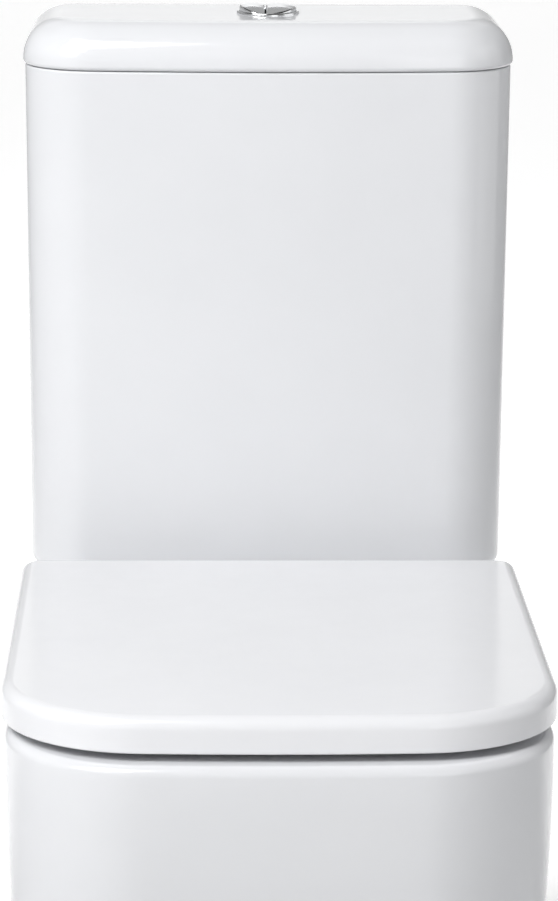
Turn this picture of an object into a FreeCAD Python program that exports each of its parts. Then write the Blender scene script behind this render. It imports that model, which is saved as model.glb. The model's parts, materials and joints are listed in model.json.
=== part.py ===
"""Close coupled toilet: pan, cistern with its valves and dual flush button, and a soft close seat.

Frame, in millimetres: +X to the right as seen from the front, +Y to the back, +Z up. The origin is on the
floor, on the centre line, halfway between the front of the pan and the wall plane at its back.
"""
import FreeCAD, Part
import math
import os
import re

import Sketcher
from FreeCAD import Placement, Rotation, Vector

DIMENSIONS = {
    # whole object
    "wall_y": 325,
    "front_y": -325,
    # pan
    "rim_z": 406,
    "pan_half_width": 183,
    "pan_half_width_back": 176,
    "foot_narrowing": 18,
    "foot_setback": 60,
    "pan_corner": 97,
    "pan_rear_corner": 12,
    "pan_bow": 1900,
    "pan_band": 26,
    "pan_edge_radius": 7,
    "pan_skin": 13,
    "deck_thickness": 16,
    "bowl_y": -125,
    "bowl_half_length": 150,
    "bowl_half_width": 126,
    "bowl_wall": 11,
    "sump_top_z": 300,
    "sump_offset": 45,
    "trap_bore": 38,
    "trap_wall": 8,
    "trap_start_z": 106,
    "trap_rise_y": -10,
    "crest_front_y": 60,
    "crest_back_y": 115,
    "crest_rise": 55,
    "trap_fall_y": 170,
    "rising_bend": 52,
    "falling_bend": 55,
    "outlet_z": 185,
    "outlet_radius": 51,
    "outlet_recess": 8,
    "outlet_length": 46,
    "outlet_wall": 8,
    "outlet_bore_depth": 40,
    "duct_half_width": 46,
    "duct_floor_z": 342,
    "duct_wall": 11,
    "duct_overlap": 6,
    "channel_narrowing": 6,
    "channel_reach": 45,
    "channel_step": 4,
    "channel_cover": 12,
    "seat_bolt_hole": 7,
    "coupling_hole": 6.5,
    "fixing_hole_depth": 39,
    "notch_half_width": 24,
    "notch_reach": 30,
    "notch_depth": 60,
    # cistern
    "tank_bottom_z": 411,
    "tank_joint_z": 793,
    "tank_half_width": 181,
    "tank_spread": 3.2,
    "tank_front_y": 150,
    "tank_back_y": 315,
    "tank_corner": 52,
    "tank_rear_corner": 34,
    "tank_bow": 1500,
    "tank_wall": 10,
    "tank_floor": 12,
    "tank_foot_radius": 8,
    "tank_lip_radius": 1.5,
    "cover_top_z": 828,
    "cover_overhang": 1.5,
    "cover_edge_radius": 31,
    "cover_lower_radius": 3,
    "cover_gap": 0.5,
    "cover_thickness": 12,
    "cover_lip": 6,
    "cover_lip_gap": 1.5,
    "cover_lip_width": 5.5,
    "button_hole_gap": 1.3,
    # seat and lid
    "lid_top_z": 436,
    "lid_skirt_z": 411.5,
    "lid_rear_skirt_z": 417,
    "lid_ceiling_z": 430.5,
    "lid_half_width": 185.5,
    "lid_half_width_back": 182.5,
    "lid_front_y": -313,
    "lid_back_y": 115,
    "lid_corner": 97,
    "lid_rear_corner": 14,
    "lid_bow": 1900,
    "lid_wall": 5,
    "lid_edge_radius": 9,
    "seat_bottom_z": 411,
    "seat_top_z": 428,
    "seat_half_width": 177.5,
    "seat_half_width_back": 174.5,
    "seat_front_y": -305,
    "seat_back_y": 87,
    "seat_corner": 89,
    "seat_hole_half_length": 141,
    "seat_hole_half_width": 112,
    "seat_hole_y": -118,
    "seat_rear_corner": 10,
    "seat_edge_radius": 6,
    "buffer_gap": 0.3,
    # seat hinge
    "hinge_y": 103,
    "hinge_z": 424,
    "hinge_radius": 6,
    "hinge_pin_radius": 3,
    "hinge_bolt_x": 77.5,
    "hinge_bolt_y": 93,
    "running_gap": 0.08,
    "knuckle_start": 20,
    "ring_knuckle_end": 65.5,
    "ring_knuckle_start": 40,
    "ring_cartridge_end": 52,
    "lid_knuckle_start": 89.5,
    "lid_knuckle_end": 110,
    "lid_cartridge_start": 103,
    "lid_cartridge_end": 130,
    "post_start": 66,
    "post_end": 89,
    "post_foot_radius": 22,
    "post_foot_height": 4,
    "hinge_pin_start": 53,
    "hinge_pin_end": 102,
    "damper_gap": 1.4,
    "damper_cap": 2,
    # flush valve, under the button
    "valve_y": 230,
    "valve_bore": 26,
    "valve_shank": 30.5,
    "flange_radius": 42,
    "valve_washer_height": 3,
    "spider_half": 1.2,
    "spider_low_z": 398,
    "spider_top_z": 412,
    "backnut_radius": 41,
    "backnut_height": 12,
    "gasket_bore": 44.5,
    "gasket_radius": 66,
    "gasket_height": 5,
    "cage_radius": 38,
    "cage_wall": 2.5,
    "cage_rise": 9,
    "window_half": 17,
    "window_first_z": 446,
    "window_height": 54,
    "window_pitch": 70,
    "cage_top_z": 640,
    "core_radius": 12,
    "core_top_z": 690,
    "head_top_z": 737,
    "rod_x": 10,
    "rod_radius": 2.5,
    "plunger_radius": 5,
    "core_seat": 11.3,
    "head_radius": 30,
    "head_wall": 2.5,
    "head_roof": 14,
    # fill valve
    "fill_x": -125,
    "fill_y": 240,
    "fill_shank": 10.1,
    "fill_nose": 10.4,
    "fill_nose_length": 27,
    "fill_foot_z": 372,
    "fill_top_z": 700,
    "fill_bore": 5.5,
    "fill_pipe": 12,
    "fill_flange": 17,
    "undercut": 1.6,
    "fill_washer_radius": 19,
    "fill_nut_radius": 20,
    "fill_nut_height": 10,
    "fill_cap_radius": 20,
    "fill_cap_height": 34,
    "float_bottom_z": 560,
    "float_radius": 29,
    "float_height": 60,
    "float_wall": 1.5,
    "float_rod_x": 25,
    "float_rod_radius": 2,
    # couplings between cistern and pan
    "coupling_x": 80,
    "bolt_radius": 4,
    "bolt_length": 74,
    "seat_bolt_length": 58,
    "bolt_head_radius": 9,
    "washer_height": 3,
    "wing_hub_radius": 8,
    "wing_half_thickness": 1.5,
    "wing_half_span": 17,
    "wing_height": 12,
    # push button
    "button_radius": 21.2,
    "bezel_radius": 23.3,
    "bezel_depth": 30.5,
    "bezel_floor": 3,
    "bezel_nut_radius": 29,
    "bezel_nut_height": 6,
    "grip_radius": 1.6,
    "button_top_z": 835,
    "button_skirt": 28,
    "button_wall": 2,
    "button_split_x": -2,
    "split_gap": 0.4,
    "button_edge_radius": 1.2,
    "button_hollow": 18,
    "boss_radius": 4.6,
    "boss_height": 18,
    # floor fixings
    "bracket_y": -5,
    "side_hole_z": 28,
    "foot_half_x": 164.4,
    "side_hole": 3.5,
    "cap_seat_radius": 9.4,
    "cap_recess": 2.4,
    "cap_seat_length": 20,
    "bracket_inset": 27,
    "bracket_half_length": 12,
    "bracket_half_width": 15,
    "bracket_cheek": 5,
    "bracket_upright": 7,
    "bracket_plate": 8,
    "bracket_rise": 14,
    "bracket_hole": 3.2,
    "side_screw_radius": 2.3,
    "side_screw_length": 40,
    "side_screw_head": 5,
    "side_screw_head_height": 1.2,
    "side_cap_radius": 9,
    "side_cap_height": 4.8,
    # how far a cutter runs past the face it opens
    "overrun": 1,
}

SIDES = {"left": -1, "right": 1}

doc = FreeCAD.newDocument("close_coupled_toilet")
sheet = doc.addObject("Spreadsheet::Sheet", "Dims")
for row, (alias, number) in enumerate(DIMENSIONS.items(), 1):
    sheet.set(f"A{row}", str(number))
    sheet.setAlias(f"A{row}", alias)
doc.recompute()

finished = []


# ---------------------------------------------------------------- expressions and small helpers
def qualified(text):
    """An expression with each alias written as the sheet's cell."""
    return re.sub(
        r"[a-z_][a-z0-9_]*",
        lambda word: "Dims." + word.group() if word.group() in DIMENSIONS else word.group(),
        str(text),
    )


def value(text):
    return float(sheet.evalExpression(qualified(text)))


def bind(item, path, text):
    item.setExpression(path, qualified(text))


def place(item, x="0", y="0", z="0", rotation=None):
    """Binds an item's position to the sheet, after turning it if a rotation is given."""
    if rotation:
        item.Placement = Placement(Vector(0, 0, 0), rotation)
    for axis, text in zip("xyz", (x, y, z)):
        bind(item, f"Placement.Base.{axis}", text)
    return item


def finish(item, node):
    """Names a finished sub-part; the label is its node and file name."""
    item.Label = node
    finished.append(item)
    return item


ALONG_X = Rotation(Vector(0, 1, 0), 90)
ALONG_Y = Rotation(Vector(1, 0, 0), -90)


def cylinder(name, radius, height, x="0", y="0", z="0", rotation=None):
    item = doc.addObject("Part::Cylinder", name)
    bind(item, "Radius", radius)
    bind(item, "Height", height)
    return place(item, x, y, z, rotation)


def block(name, x, y, z):
    """A box from its (low, high) limits along each axis."""
    item = doc.addObject("Part::Box", name)
    for size, (low, high) in (("Length", x), ("Width", y), ("Height", z)):
        bind(item, size, f"({high}) - ({low})")
    return place(item, x[0], y[0], z[0])


def ball(name, radius, x, y, z):
    item = doc.addObject("Part::Sphere", name)
    bind(item, "Radius", radius)
    return place(item, x, y, z)


def around(centre, half):
    """The (low, high) limits of a span about its centre."""
    return f"{centre} - ({half})", f"{centre} + ({half})"


def prism(name, circumradius, height, x, y, z):
    item = doc.addObject("Part::Prism", name)
    item.Polygon = 6
    bind(item, "Circumradius", circumradius)
    bind(item, "Height", height)
    return place(item, x, y, z)


def fuse(name, *items):
    item = doc.addObject("Part::MultiFuse", name)
    item.Shapes = list(items)
    return item


def cut(name, base, *tools):
    item = doc.addObject("Part::Cut", name)
    item.Base = base
    item.Tool = tools[0] if len(tools) == 1 else fuse(name + "_tools", *tools)
    return item


def common(name, base, tool):
    item = doc.addObject("Part::Common", name)
    item.Base = base
    item.Tool = tool
    return item


def tube(name, outer, inner, height, x="0", y="0", z="0", rotation=None):
    """A straight tube or washer."""
    outside = cylinder(name + "_outside", outer, height, x, y, z, rotation)
    inside = cylinder(name + "_inside", inner, height, x, y, z, rotation)
    return cut(name, outside, inside)


def rounded(name, base, radius, wanted):
    """Part::Fillet on the edges that wanted(edge) picks."""
    doc.recompute()
    item = doc.addObject("Part::Fillet", name)
    item.Base = base
    size = value(radius)
    item.Edges = [(i, size, size) for i, edge in enumerate(base.Shape.Edges, 1) if wanted(edge)]
    return item


def level(z, slack=0.05):
    """Picks edges that lie flat at a height."""
    height = value(z)
    return lambda edge: abs(edge.BoundBox.ZMin - height) < slack and abs(edge.BoundBox.ZMax - height) < slack


def origin_plane(body, role):
    return next(item for item in body.Origin.OriginFeatures if item.Role == role)


# ---------------------------------------------------------------- sketches
def named(sketch, name, text, *constraint):
    """Adds a dimension to a sketch and binds it to the sheet."""
    index = sketch.addConstraint(Sketcher.Constraint(*constraint, value(text)))
    sketch.renameConstraint(index, name)
    bind(sketch, f"Constraints.{name}", text)


def outline(body, name, z, shape, inset="0"):
    """Closed outline at height z: straight back, tapered sides, round corners and a slightly bowed front.

    The shape names the sizes; the inset moves the whole outline inwards.
    """
    front = f"{shape['front']} + ({inset})"
    moved = ("back", "half_front", "half_back", "corner", "rear_corner", "bow")
    back, half_front, half_back, corner, rear_corner, bow = (f"{shape[key]} - ({inset})" for key in moved)
    y_front, y_back, x_front, x_back = value(front), value(back), value(half_front), value(half_back)
    r_corner, r_rear, r_bow = value(corner), value(rear_corner), value(bow)
    bow_y = y_front + r_bow
    corner_y = bow_y - math.sqrt((r_bow - r_corner) ** 2 - (x_front - r_corner) ** 2)
    joint = math.atan2(corner_y - bow_y, x_front - r_corner)
    rear_x, rear_y = x_back - r_rear, y_back - r_rear
    up = Vector(0, 0, 1)

    def arc(x, y, radius, start, end):
        return Part.ArcOfCircle(Part.Circle(Vector(x, y, 0), up, radius), start, end)

    def line(x1, y1, x2, y2):
        return Part.LineSegment(Vector(x1, y1, 0), Vector(x2, y2, 0))

    sketch = body.newObject("Sketcher::SketchObject", name)
    sketch.AttachmentSupport = [(origin_plane(body, "XY_Plane"), "")]
    sketch.MapMode = "FlatFace"
    bind(sketch, "AttachmentOffset.Base.z", z)
    sketch.addGeometry(
        [
            line(-rear_x, y_back, rear_x, y_back),
            arc(rear_x, rear_y, r_rear, 0, math.pi / 2),
            line(x_front, corner_y, x_back, rear_y),
            arc(x_front - r_corner, corner_y, r_corner, joint, 0),
            arc(0, bow_y, r_bow, -math.pi - joint, joint),
            arc(r_corner - x_front, corner_y, r_corner, math.pi, math.pi - joint),
            line(-x_back, rear_y, -x_front, corner_y),
            arc(-rear_x, rear_y, r_rear, math.pi / 2, math.pi),
        ],
        False,
    )
    start, end, centre, y_axis = 1, 2, 3, -2
    back_line, rear_right, right, front_right, bow_arc, front_left, left, rear_left = range(8)
    for first, at_first, second, at_second in (
        (back_line, end, rear_right, end),
        (rear_right, start, right, end),
        (right, start, front_right, end),
        (front_right, start, bow_arc, end),
        (bow_arc, start, front_left, end),
        (front_left, start, left, end),
        (left, start, rear_left, end),
        (rear_left, start, back_line, start),
    ):
        sketch.addConstraint(Sketcher.Constraint("Tangent", first, at_first, second, at_second))
    sketch.addConstraint(Sketcher.Constraint("Equal", rear_right, rear_left))
    sketch.addConstraint(Sketcher.Constraint("Equal", front_right, front_left))
    sketch.addConstraint(Sketcher.Constraint("Horizontal", back_line))
    sketch.addConstraint(Sketcher.Constraint("PointOnObject", bow_arc, centre, y_axis))
    named(sketch, "rear_corner", rear_corner, "Radius", rear_right)
    named(sketch, "corner", corner, "Radius", front_right)
    named(sketch, "bow", bow, "Radius", bow_arc)
    named(sketch, "bow_centre", f"({front}) + ({bow})", "DistanceY", bow_arc, centre)
    named(sketch, "back", back, "DistanceY", back_line, start)
    named(sketch, "right_front", half_front, "DistanceX", right, start)
    named(sketch, "right_back", half_back, "DistanceX", right, end)
    named(sketch, "left_front", f"-({half_front})", "DistanceX", left, end)
    named(sketch, "left_back", f"-({half_back})", "DistanceX", left, start)
    return sketch


def new_body(name):
    return doc.addObject("PartDesign::Body", name)


def raised(body, kind, name, sketch, height, draft=None, downward=False):
    """A Pad or a Pocket from the sketch; draft is the outward spread over the whole height."""
    item = body.newObject(f"PartDesign::{kind}", name)
    item.Profile = sketch
    item.Reversed = downward == (kind == "Pad")
    bind(item, "Length", height)
    if draft:
        bind(item, "TaperAngle", f"atan(({draft}) / ({height}))")
    doc.recompute()
    return item


def loft(body, kind, name, sketches):
    item = body.newObject(f"PartDesign::{kind}Loft", name)
    item.Profile = sketches[0]
    item.Sections = sketches[1:]
    doc.recompute()
    return item


def design_fillet(body, name, base, radius, wanted):
    item = body.newObject("PartDesign::Fillet", name)
    item.Base = (base, [f"Edge{i}" for i, edge in enumerate(base.Shape.Edges, 1) if wanted(edge)])
    bind(item, "Radius", radius)
    doc.recompute()
    return item


def turned(name, profile, x="0", y="0", z="0", flip=None):
    """A body turned about its own Z axis from (radius, height) corners of its half section."""
    body = new_body(name)
    sketch = body.newObject("Sketcher::SketchObject", name + "_profile")
    sketch.AttachmentSupport = [(origin_plane(body, "XZ_Plane"), "")]
    sketch.MapMode = "FlatFace"
    corners = [Vector(value(r), value(h), 0) for r, h in profile]
    count = len(corners)
    sketch.addGeometry([Part.LineSegment(corners[i], corners[(i + 1) % count]) for i in range(count)], False)
    for i, (radius, height) in enumerate(profile):
        sketch.addConstraint(Sketcher.Constraint("Coincident", (i - 1) % count, 2, i, 1))
        named(sketch, f"radius_{i}", radius, "DistanceX", i, 1)
        named(sketch, f"height_{i}", height, "DistanceY", i, 1)
    turn = body.newObject("PartDesign::Revolution", name + "_turn")
    turn.Profile = sketch
    turn.ReferenceAxis = (sketch, ["V_Axis"])
    turn.Angle = 360
    doc.recompute()
    return place(body, x, y, z, flip)


def level_ellipse(name, z, y, half_length, half_width):
    """An ellipse lying at height z, long in Y."""
    item = doc.addObject("Part::Ellipse", name)
    bind(item, "MajorRadius", half_length)
    bind(item, "MinorRadius", half_width)
    return place(item, "0", y, z, Rotation(Vector(0, 0, 1), 90))


def basin(name, levels, thickness="0"):
    """A smooth solid through level ellipses, each one grown by the thickness."""
    sections = [
        level_ellipse(f"{name}_{i}", z, y, f"{half_length} + {thickness}", f"{half_width} + {thickness}")
        for i, (z, y, half_length, half_width) in enumerate(levels)
    ]
    item = doc.addObject("Part::Loft", name)
    item.Sections = sections
    item.Solid = True
    item.Ruled = False
    return item


def centre_line(name, points, bends):
    """A path in the middle plane through (y, z) points, its inner corners bent to the given radii."""
    corners = [Vector(value(y), value(z), 0) for y, z in points]
    sketch = doc.addObject("Sketcher::SketchObject", name)
    sketch.Placement = Placement(Vector(0, 0, 0), Rotation(Vector(1, 1, 1), 120))
    runs = len(corners) - 1
    ends = [[corners[i], corners[i + 1]] for i in range(runs)]
    arcs = []
    for i, bend in enumerate(bends):
        before = (corners[i] - corners[i + 1]).normalize()
        after = (corners[i + 2] - corners[i + 1]).normalize()
        half_angle = before.getAngle(after) / 2
        back_off = value(bend) / math.tan(half_angle)
        centre = corners[i + 1] + (before + after).normalize() * (value(bend) / math.sin(half_angle))
        ends[i][1] = corners[i + 1] + before * back_off
        ends[i + 1][0] = corners[i + 1] + after * back_off
        anticlockwise = before.cross(after).z < 0
        first, second = (ends[i][1], ends[i + 1][0]) if anticlockwise else (ends[i + 1][0], ends[i][1])
        start, stop = ((p - centre) for p in (first, second))
        circle = Part.Circle(centre, Vector(0, 0, 1), value(bend))
        turn = (math.atan2(start.y, start.x), math.atan2(stop.y, stop.x))
        arcs.append((Part.ArcOfCircle(circle, *turn), 1 if anticlockwise else 2))
    sketch.addGeometry([Part.LineSegment(*pair) for pair in ends], False)
    sketch.addGeometry([arc for arc, _ in arcs], False)
    sketch.addGeometry([Part.Point(corner) for corner in corners[1:-1]], True)
    for i, (_, first_end) in enumerate(arcs):
        arc, corner = runs + i, runs + len(arcs) + i
        sketch.addConstraint(Sketcher.Constraint("Tangent", i, 2, arc, first_end))
        sketch.addConstraint(Sketcher.Constraint("Tangent", arc, 3 - first_end, i + 1, 1))
        sketch.addConstraint(Sketcher.Constraint("PointOnObject", corner, 1, i))
        sketch.addConstraint(Sketcher.Constraint("PointOnObject", corner, 1, i + 1))
        named(sketch, f"bend_{i}", bends[i], "Radius", arc)
        named(sketch, f"corner_y_{i}", points[i + 1][0], "DistanceX", corner, 1)
        named(sketch, f"corner_z_{i}", points[i + 1][1], "DistanceY", corner, 1)
    for label, line, end, (y, z) in (("start", 0, 1, points[0]), ("end", runs - 1, 2, points[-1])):
        named(sketch, f"{label}_y", y, "DistanceX", line, end)
        named(sketch, f"{label}_z", z, "DistanceY", line, end)
    return sketch


def swept_pipe(name, path, radius):
    """A solid round bar along a centre line that starts in the +Y direction."""
    doc.recompute()
    circle = doc.addObject("Part::Circle", name + "_section")
    bind(circle, "Radius", radius)
    start = min((vertex.Point for vertex in path.Shape.Vertexes), key=lambda point: point.y)
    circle.Placement = Placement(start, ALONG_Y)
    item = doc.addObject("Part::Sweep", name)
    item.Sections = [circle]
    item.Spine = (path, [f"Edge{i}" for i in range(1, len(path.Shape.Edges) + 1)])
    item.Solid = True
    return item


# ---------------------------------------------------------------- pan
PAN_LEVELS = [  # height, setback of the front, narrowing of the sides
    ("0", "foot_setback", "foot_narrowing"),
    ("130", "38", "12.5"),
    ("260", "13", "4.3"),
    ("325", "3.6", "1.3"),
    ("rim_z - pan_band", "0", "0"),
]


def pan_outline(body, name, z, setback, narrowing, inset="0"):
    """An outline of the pan or, inset, of its hollow.

    It runs past the wall plane, where the pan is cut flat.
    """
    shape = {
        "front": f"front_y + {setback}",
        "back": f"wall_y + pan_rear_corner + 2 + 2 * {inset}",
        "half_front": f"pan_half_width - {narrowing}",
        "half_back": f"pan_half_width_back - {narrowing}",
        "corner": f"pan_corner - {narrowing}",
        "rear_corner": f"pan_rear_corner + {inset}",
        "bow": f"pan_bow - {narrowing}",
    }
    return outline(body, name, z, shape, inset)


pan_shell = new_body("pan_shell")
skin_outlines = [
    pan_outline(pan_shell, f"pan_skin_{i}", z, setback, narrowing)
    for i, (z, setback, narrowing) in enumerate(PAN_LEVELS)
]
loft(pan_shell, "Additive", "pan_sides", skin_outlines)
band_outline = pan_outline(pan_shell, "pan_band_outline", *PAN_LEVELS[-1])
pan_band = raised(pan_shell, "Pad", "pan_band_pad", band_outline, "pan_band")
design_fillet(pan_shell, "pan_top_edge", pan_band, "pan_edge_radius", level("rim_z"))
hollow_outlines = [
    pan_outline(pan_shell, f"pan_hollow_{i}", z, setback, narrowing, "pan_skin")
    for i, (z, setback, narrowing) in enumerate(
        [("-overrun", *PAN_LEVELS[0][1:])] + PAN_LEVELS[1:4] + [("rim_z - deck_thickness", "0", "0")]
    )
]
loft(pan_shell, "Subtractive", "pan_hollow", hollow_outlines)

BOWL_LEVELS = [  # height, centre along Y, half length, half width
    ("rim_z + 1", "bowl_y", "bowl_half_length + 9", "bowl_half_width + 9"),
    ("rim_z - 3", "bowl_y", "bowl_half_length + 4", "bowl_half_width + 4"),
    ("rim_z - 8", "bowl_y", "bowl_half_length + 1", "bowl_half_width + 1"),
    ("rim_z - 18", "bowl_y", "bowl_half_length", "bowl_half_width"),
    ("330", "bowl_y + 3", "bowl_half_length - 10", "bowl_half_width - 9"),
    ("270", "bowl_y + 15", "112", "97"),
    ("220", "bowl_y + 29", "82", "72"),
    ("170", "bowl_y + 41", "56", "52"),
    ("120", "bowl_y + sump_offset", "43", "42"),
    ("82", "bowl_y + sump_offset", "35", "35"),
    ("68", "bowl_y + sump_offset", "20", "20"),
]
BOWL_OUTSIDE_LEVELS = [
    ("rim_z - 8", *BOWL_LEVELS[3][1:]),
    *BOWL_LEVELS[4:-2],
    *((f"{z} - bowl_wall", *rest) for z, *rest in BOWL_LEVELS[-2:]),
]
bowl_outside = basin("bowl_outside", BOWL_OUTSIDE_LEVELS, "bowl_wall")
bowl_inside = basin("bowl_inside", BOWL_LEVELS)

trap_path = centre_line(
    "trap_path",
    [
        ("bowl_y + sump_offset", "trap_start_z"),
        ("trap_rise_y", "trap_start_z"),
        ("crest_front_y", "outlet_z + crest_rise"),
        ("crest_back_y", "outlet_z + crest_rise"),
        ("trap_fall_y", "outlet_z"),
        ("wall_y - outlet_recess", "outlet_z"),
    ],
    ["rising_bend", "rising_bend", "falling_bend", "falling_bend"],
)
trap_outside = swept_pipe("trap_outside", trap_path, "trap_bore + trap_wall")
trap_bore = swept_pipe("trap_bore", trap_path, "trap_bore")
spigot = cylinder(
    "outlet_spigot",
    "outlet_radius",
    "outlet_length",
    y="wall_y - outlet_recess - outlet_length",
    z="outlet_z",
    rotation=ALONG_Y,
)
spigot_bore = cylinder(
    "outlet_bore",
    "outlet_radius - outlet_wall",
    "outlet_bore_depth + overrun",
    y="wall_y - outlet_recess - outlet_bore_depth",
    z="outlet_z",
    rotation=ALONG_Y,
)

# the flush water falls through the deck into a chamber, and a low channel leads it to the back of the bowl
duct_outside = block(
    "duct_outside",
    around("0", "duct_half_width + duct_wall"),
    ("bowl_y + bowl_half_length - duct_overlap", "valve_y + duct_half_width + duct_wall"),
    ("duct_floor_z - duct_wall", "rim_z - deck_thickness"),
)
duct_chamber = block(
    "duct_chamber",
    around("0", "duct_half_width"),
    around("valve_y", "duct_half_width"),
    ("duct_floor_z", "rim_z - deck_thickness"),
)
duct_channel = block(
    "duct_channel",
    around("0", "duct_half_width - channel_narrowing"),
    ("bowl_y + bowl_half_length - channel_reach", "valve_y - duct_half_width + overrun"),
    ("duct_floor_z + channel_step", "rim_z - deck_thickness - channel_cover"),
)
deck_inlet = cylinder(
    "deck_inlet",
    "duct_half_width",
    "deck_thickness + 2 * overrun",
    y="valve_y",
    z="rim_z - deck_thickness - overrun",
)


def deck_hole(name, radius, x, y):
    """A hole down through the deck for a fixing."""
    return cylinder(name, radius, "fixing_hole_depth + overrun", x, y, "rim_z - fixing_hole_depth")


def side_bore(name, radius, centre_x, length):
    """A level bore through the side of the foot, at the height of the side screws."""
    return cylinder(name, radius, length, f"{centre_x} - {length} / 2", "bracket_y", "side_hole_z", ALONG_X)


pan_x = around("0", "pan_half_width")
deck_cuts = [
    block("wall_cut", pan_x, ("wall_y", "wall_y + 3 * pan_rear_corner"), ("-overrun", "rim_z + overrun"))
]
for side, sign in SIDES.items():
    deck_cuts += [
        deck_hole(f"seat_bolt_hole_{side}", "seat_bolt_hole", f"{sign} * hinge_bolt_x", "hinge_bolt_y"),
        deck_hole(f"coupling_hole_{side}", "coupling_hole", f"{sign} * coupling_x", "valve_y"),
        block(
            f"supply_notch_{side}",
            around(f"{-sign} * fill_x", "notch_half_width"),
            ("fill_y - notch_reach", "wall_y + overrun"),
            ("rim_z - notch_depth", "rim_z + overrun"),
        ),
        side_bore(f"side_hole_{side}", "side_hole", f"{sign} * foot_half_x", "3 * cap_seat_length"),
        side_bore(
            f"side_cap_seat_{side}",
            "cap_seat_radius",
            f"{sign} * (foot_half_x - cap_recess + cap_seat_length / 2)",
            "cap_seat_length",
        ),
    ]
# the pan is one casting; it is kept as five solids that meet face to face
finish(cut("pan_casting", pan_shell, bowl_outside, bowl_inside, deck_inlet, *deck_cuts), "pan")
bowl_casting = cut("bowl_casting", bowl_outside, bowl_inside, trap_bore, duct_channel)
above_sump = block("above_sump", pan_x, ("front_y", "wall_y"), ("sump_top_z", "rim_z"))
finish(common("bowl_wall_casting", bowl_casting, above_sump), "pan_bowl")
finish(cut("sump_casting", bowl_casting, above_sump), "pan_sump")
trap_solid = fuse("trap_solid", trap_outside, spigot)
finish(cut("trap_casting", trap_solid, bowl_outside, trap_bore, spigot_bore), "pan_trap")
finish(cut("duct_casting", duct_outside, bowl_outside, duct_chamber, duct_channel), "pan_flush_duct")

# ---------------------------------------------------------------- floor fixings, inside the foot
for side, sign in SIDES.items():
    angle_x = f"{sign} * (foot_half_x - bracket_inset)"
    angle = block(
        f"bracket_block_{side}",
        around(angle_x, "bracket_half_length"),
        around("bracket_y", "bracket_half_width"),
        ("0", "side_hole_z + bracket_rise"),
    )
    inside_x = f"{sign} * (foot_half_x - bracket_inset - (bracket_upright + overrun) / 2)"
    relief = block(
        f"bracket_relief_{side}",
        around(inside_x, "bracket_half_length - (bracket_upright - overrun) / 2"),
        around("bracket_y", "bracket_half_width - bracket_cheek"),
        ("bracket_plate", "side_hole_z + bracket_rise + overrun"),
    )
    floor_hole = cylinder(
        f"bracket_floor_hole_{side}",
        "bracket_hole",
        "bracket_plate + 2 * overrun",
        f"{sign} * (foot_half_x - bracket_inset - 2)",
        "bracket_y",
        "-overrun",
    )
    side_hole = side_bore(
        f"bracket_side_hole_{side}", "side_screw_radius", angle_x, "2 * (bracket_half_length + overrun)"
    )
    finish(cut(f"bracket_{side}", angle, floor_hole, relief, side_hole), f"floor_bracket_{side}")
    seat = (f"{sign} * (foot_half_x - cap_recess)", "bracket_y", "side_hole_z")
    outwards = ALONG_X if sign > 0 else Rotation(Vector(0, 1, 0), -90)
    screw = turned(
        f"side_screw_{side}_body",
        [
            ("0", "-side_screw_length"),
            ("side_screw_radius", "2 - side_screw_length"),
            ("side_screw_radius", "0"),
            ("side_screw_head", "0"),
            ("side_screw_head", "side_screw_head_height"),
            ("0", "side_screw_head_height"),
        ],
        *seat,
        outwards,
    )
    finish(screw, f"side_screw_{side}")
    cap = turned(
        f"side_cap_{side}_body",
        [
            ("0", "side_screw_head_height + 1"),
            ("side_screw_head + 0.6", "side_screw_head_height + 1"),
            ("side_screw_head + 0.6", "0"),
            ("side_cap_radius", "0"),
            ("side_cap_radius", "side_screw_head_height + 1"),
            ("side_cap_radius - 1.6", "side_cap_height - 1"),
            ("side_cap_radius - 5", "side_cap_height - 0.2"),
            ("0", "side_cap_height"),
        ],
        *seat,
        outwards,
    )
    finish(cap, f"side_cap_{side}")

# ---------------------------------------------------------------- cistern and its cover
TANK = {
    "front": "tank_front_y",
    "back": "tank_back_y",
    "half_front": "tank_half_width",
    "half_back": "tank_half_width - 1",
    "corner": "tank_corner",
    "rear_corner": "tank_rear_corner",
    "bow": "tank_bow",
}
tank = new_body("tank_shell")
tank_outline = outline(tank, "tank_outline", "tank_bottom_z", TANK, "tank_spread")
tank_sides = raised(tank, "Pad", "tank_sides", tank_outline, "tank_joint_z - tank_bottom_z", "tank_spread")
tank_foot = design_fillet(tank, "tank_foot", tank_sides, "tank_foot_radius", level("tank_bottom_z"))
tank_lip = design_fillet(tank, "tank_lip", tank_foot, "tank_lip_radius", level("tank_joint_z"))
water_outline = outline(
    tank, "tank_water_outline", "tank_bottom_z + tank_floor", TANK, "tank_spread + tank_wall"
)
water_height = "tank_joint_z - tank_bottom_z - tank_floor + overrun"
raised(tank, "Pocket", "tank_water_space", water_outline, water_height, "tank_spread")


def tank_hole(name, radius, x, y):
    """A hole down through the floor of the tank."""
    return cylinder(name, radius, "tank_floor + 2 * overrun", x, y, "tank_bottom_z - overrun")


tank_holes = [
    tank_hole("tank_valve_hole", "valve_shank + 2", "0", "valve_y"),
    tank_hole("tank_fill_hole", "fill_shank + 2.6", "fill_x", "fill_y"),
]
tank_holes += [
    tank_hole(f"tank_bolt_hole_{side}", "bolt_radius + 1.5", f"{sign} * coupling_x", "valve_y")
    for side, sign in SIDES.items()
]
finish(cut("tank_ceramic", tank, *tank_holes), "cistern_body")

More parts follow.
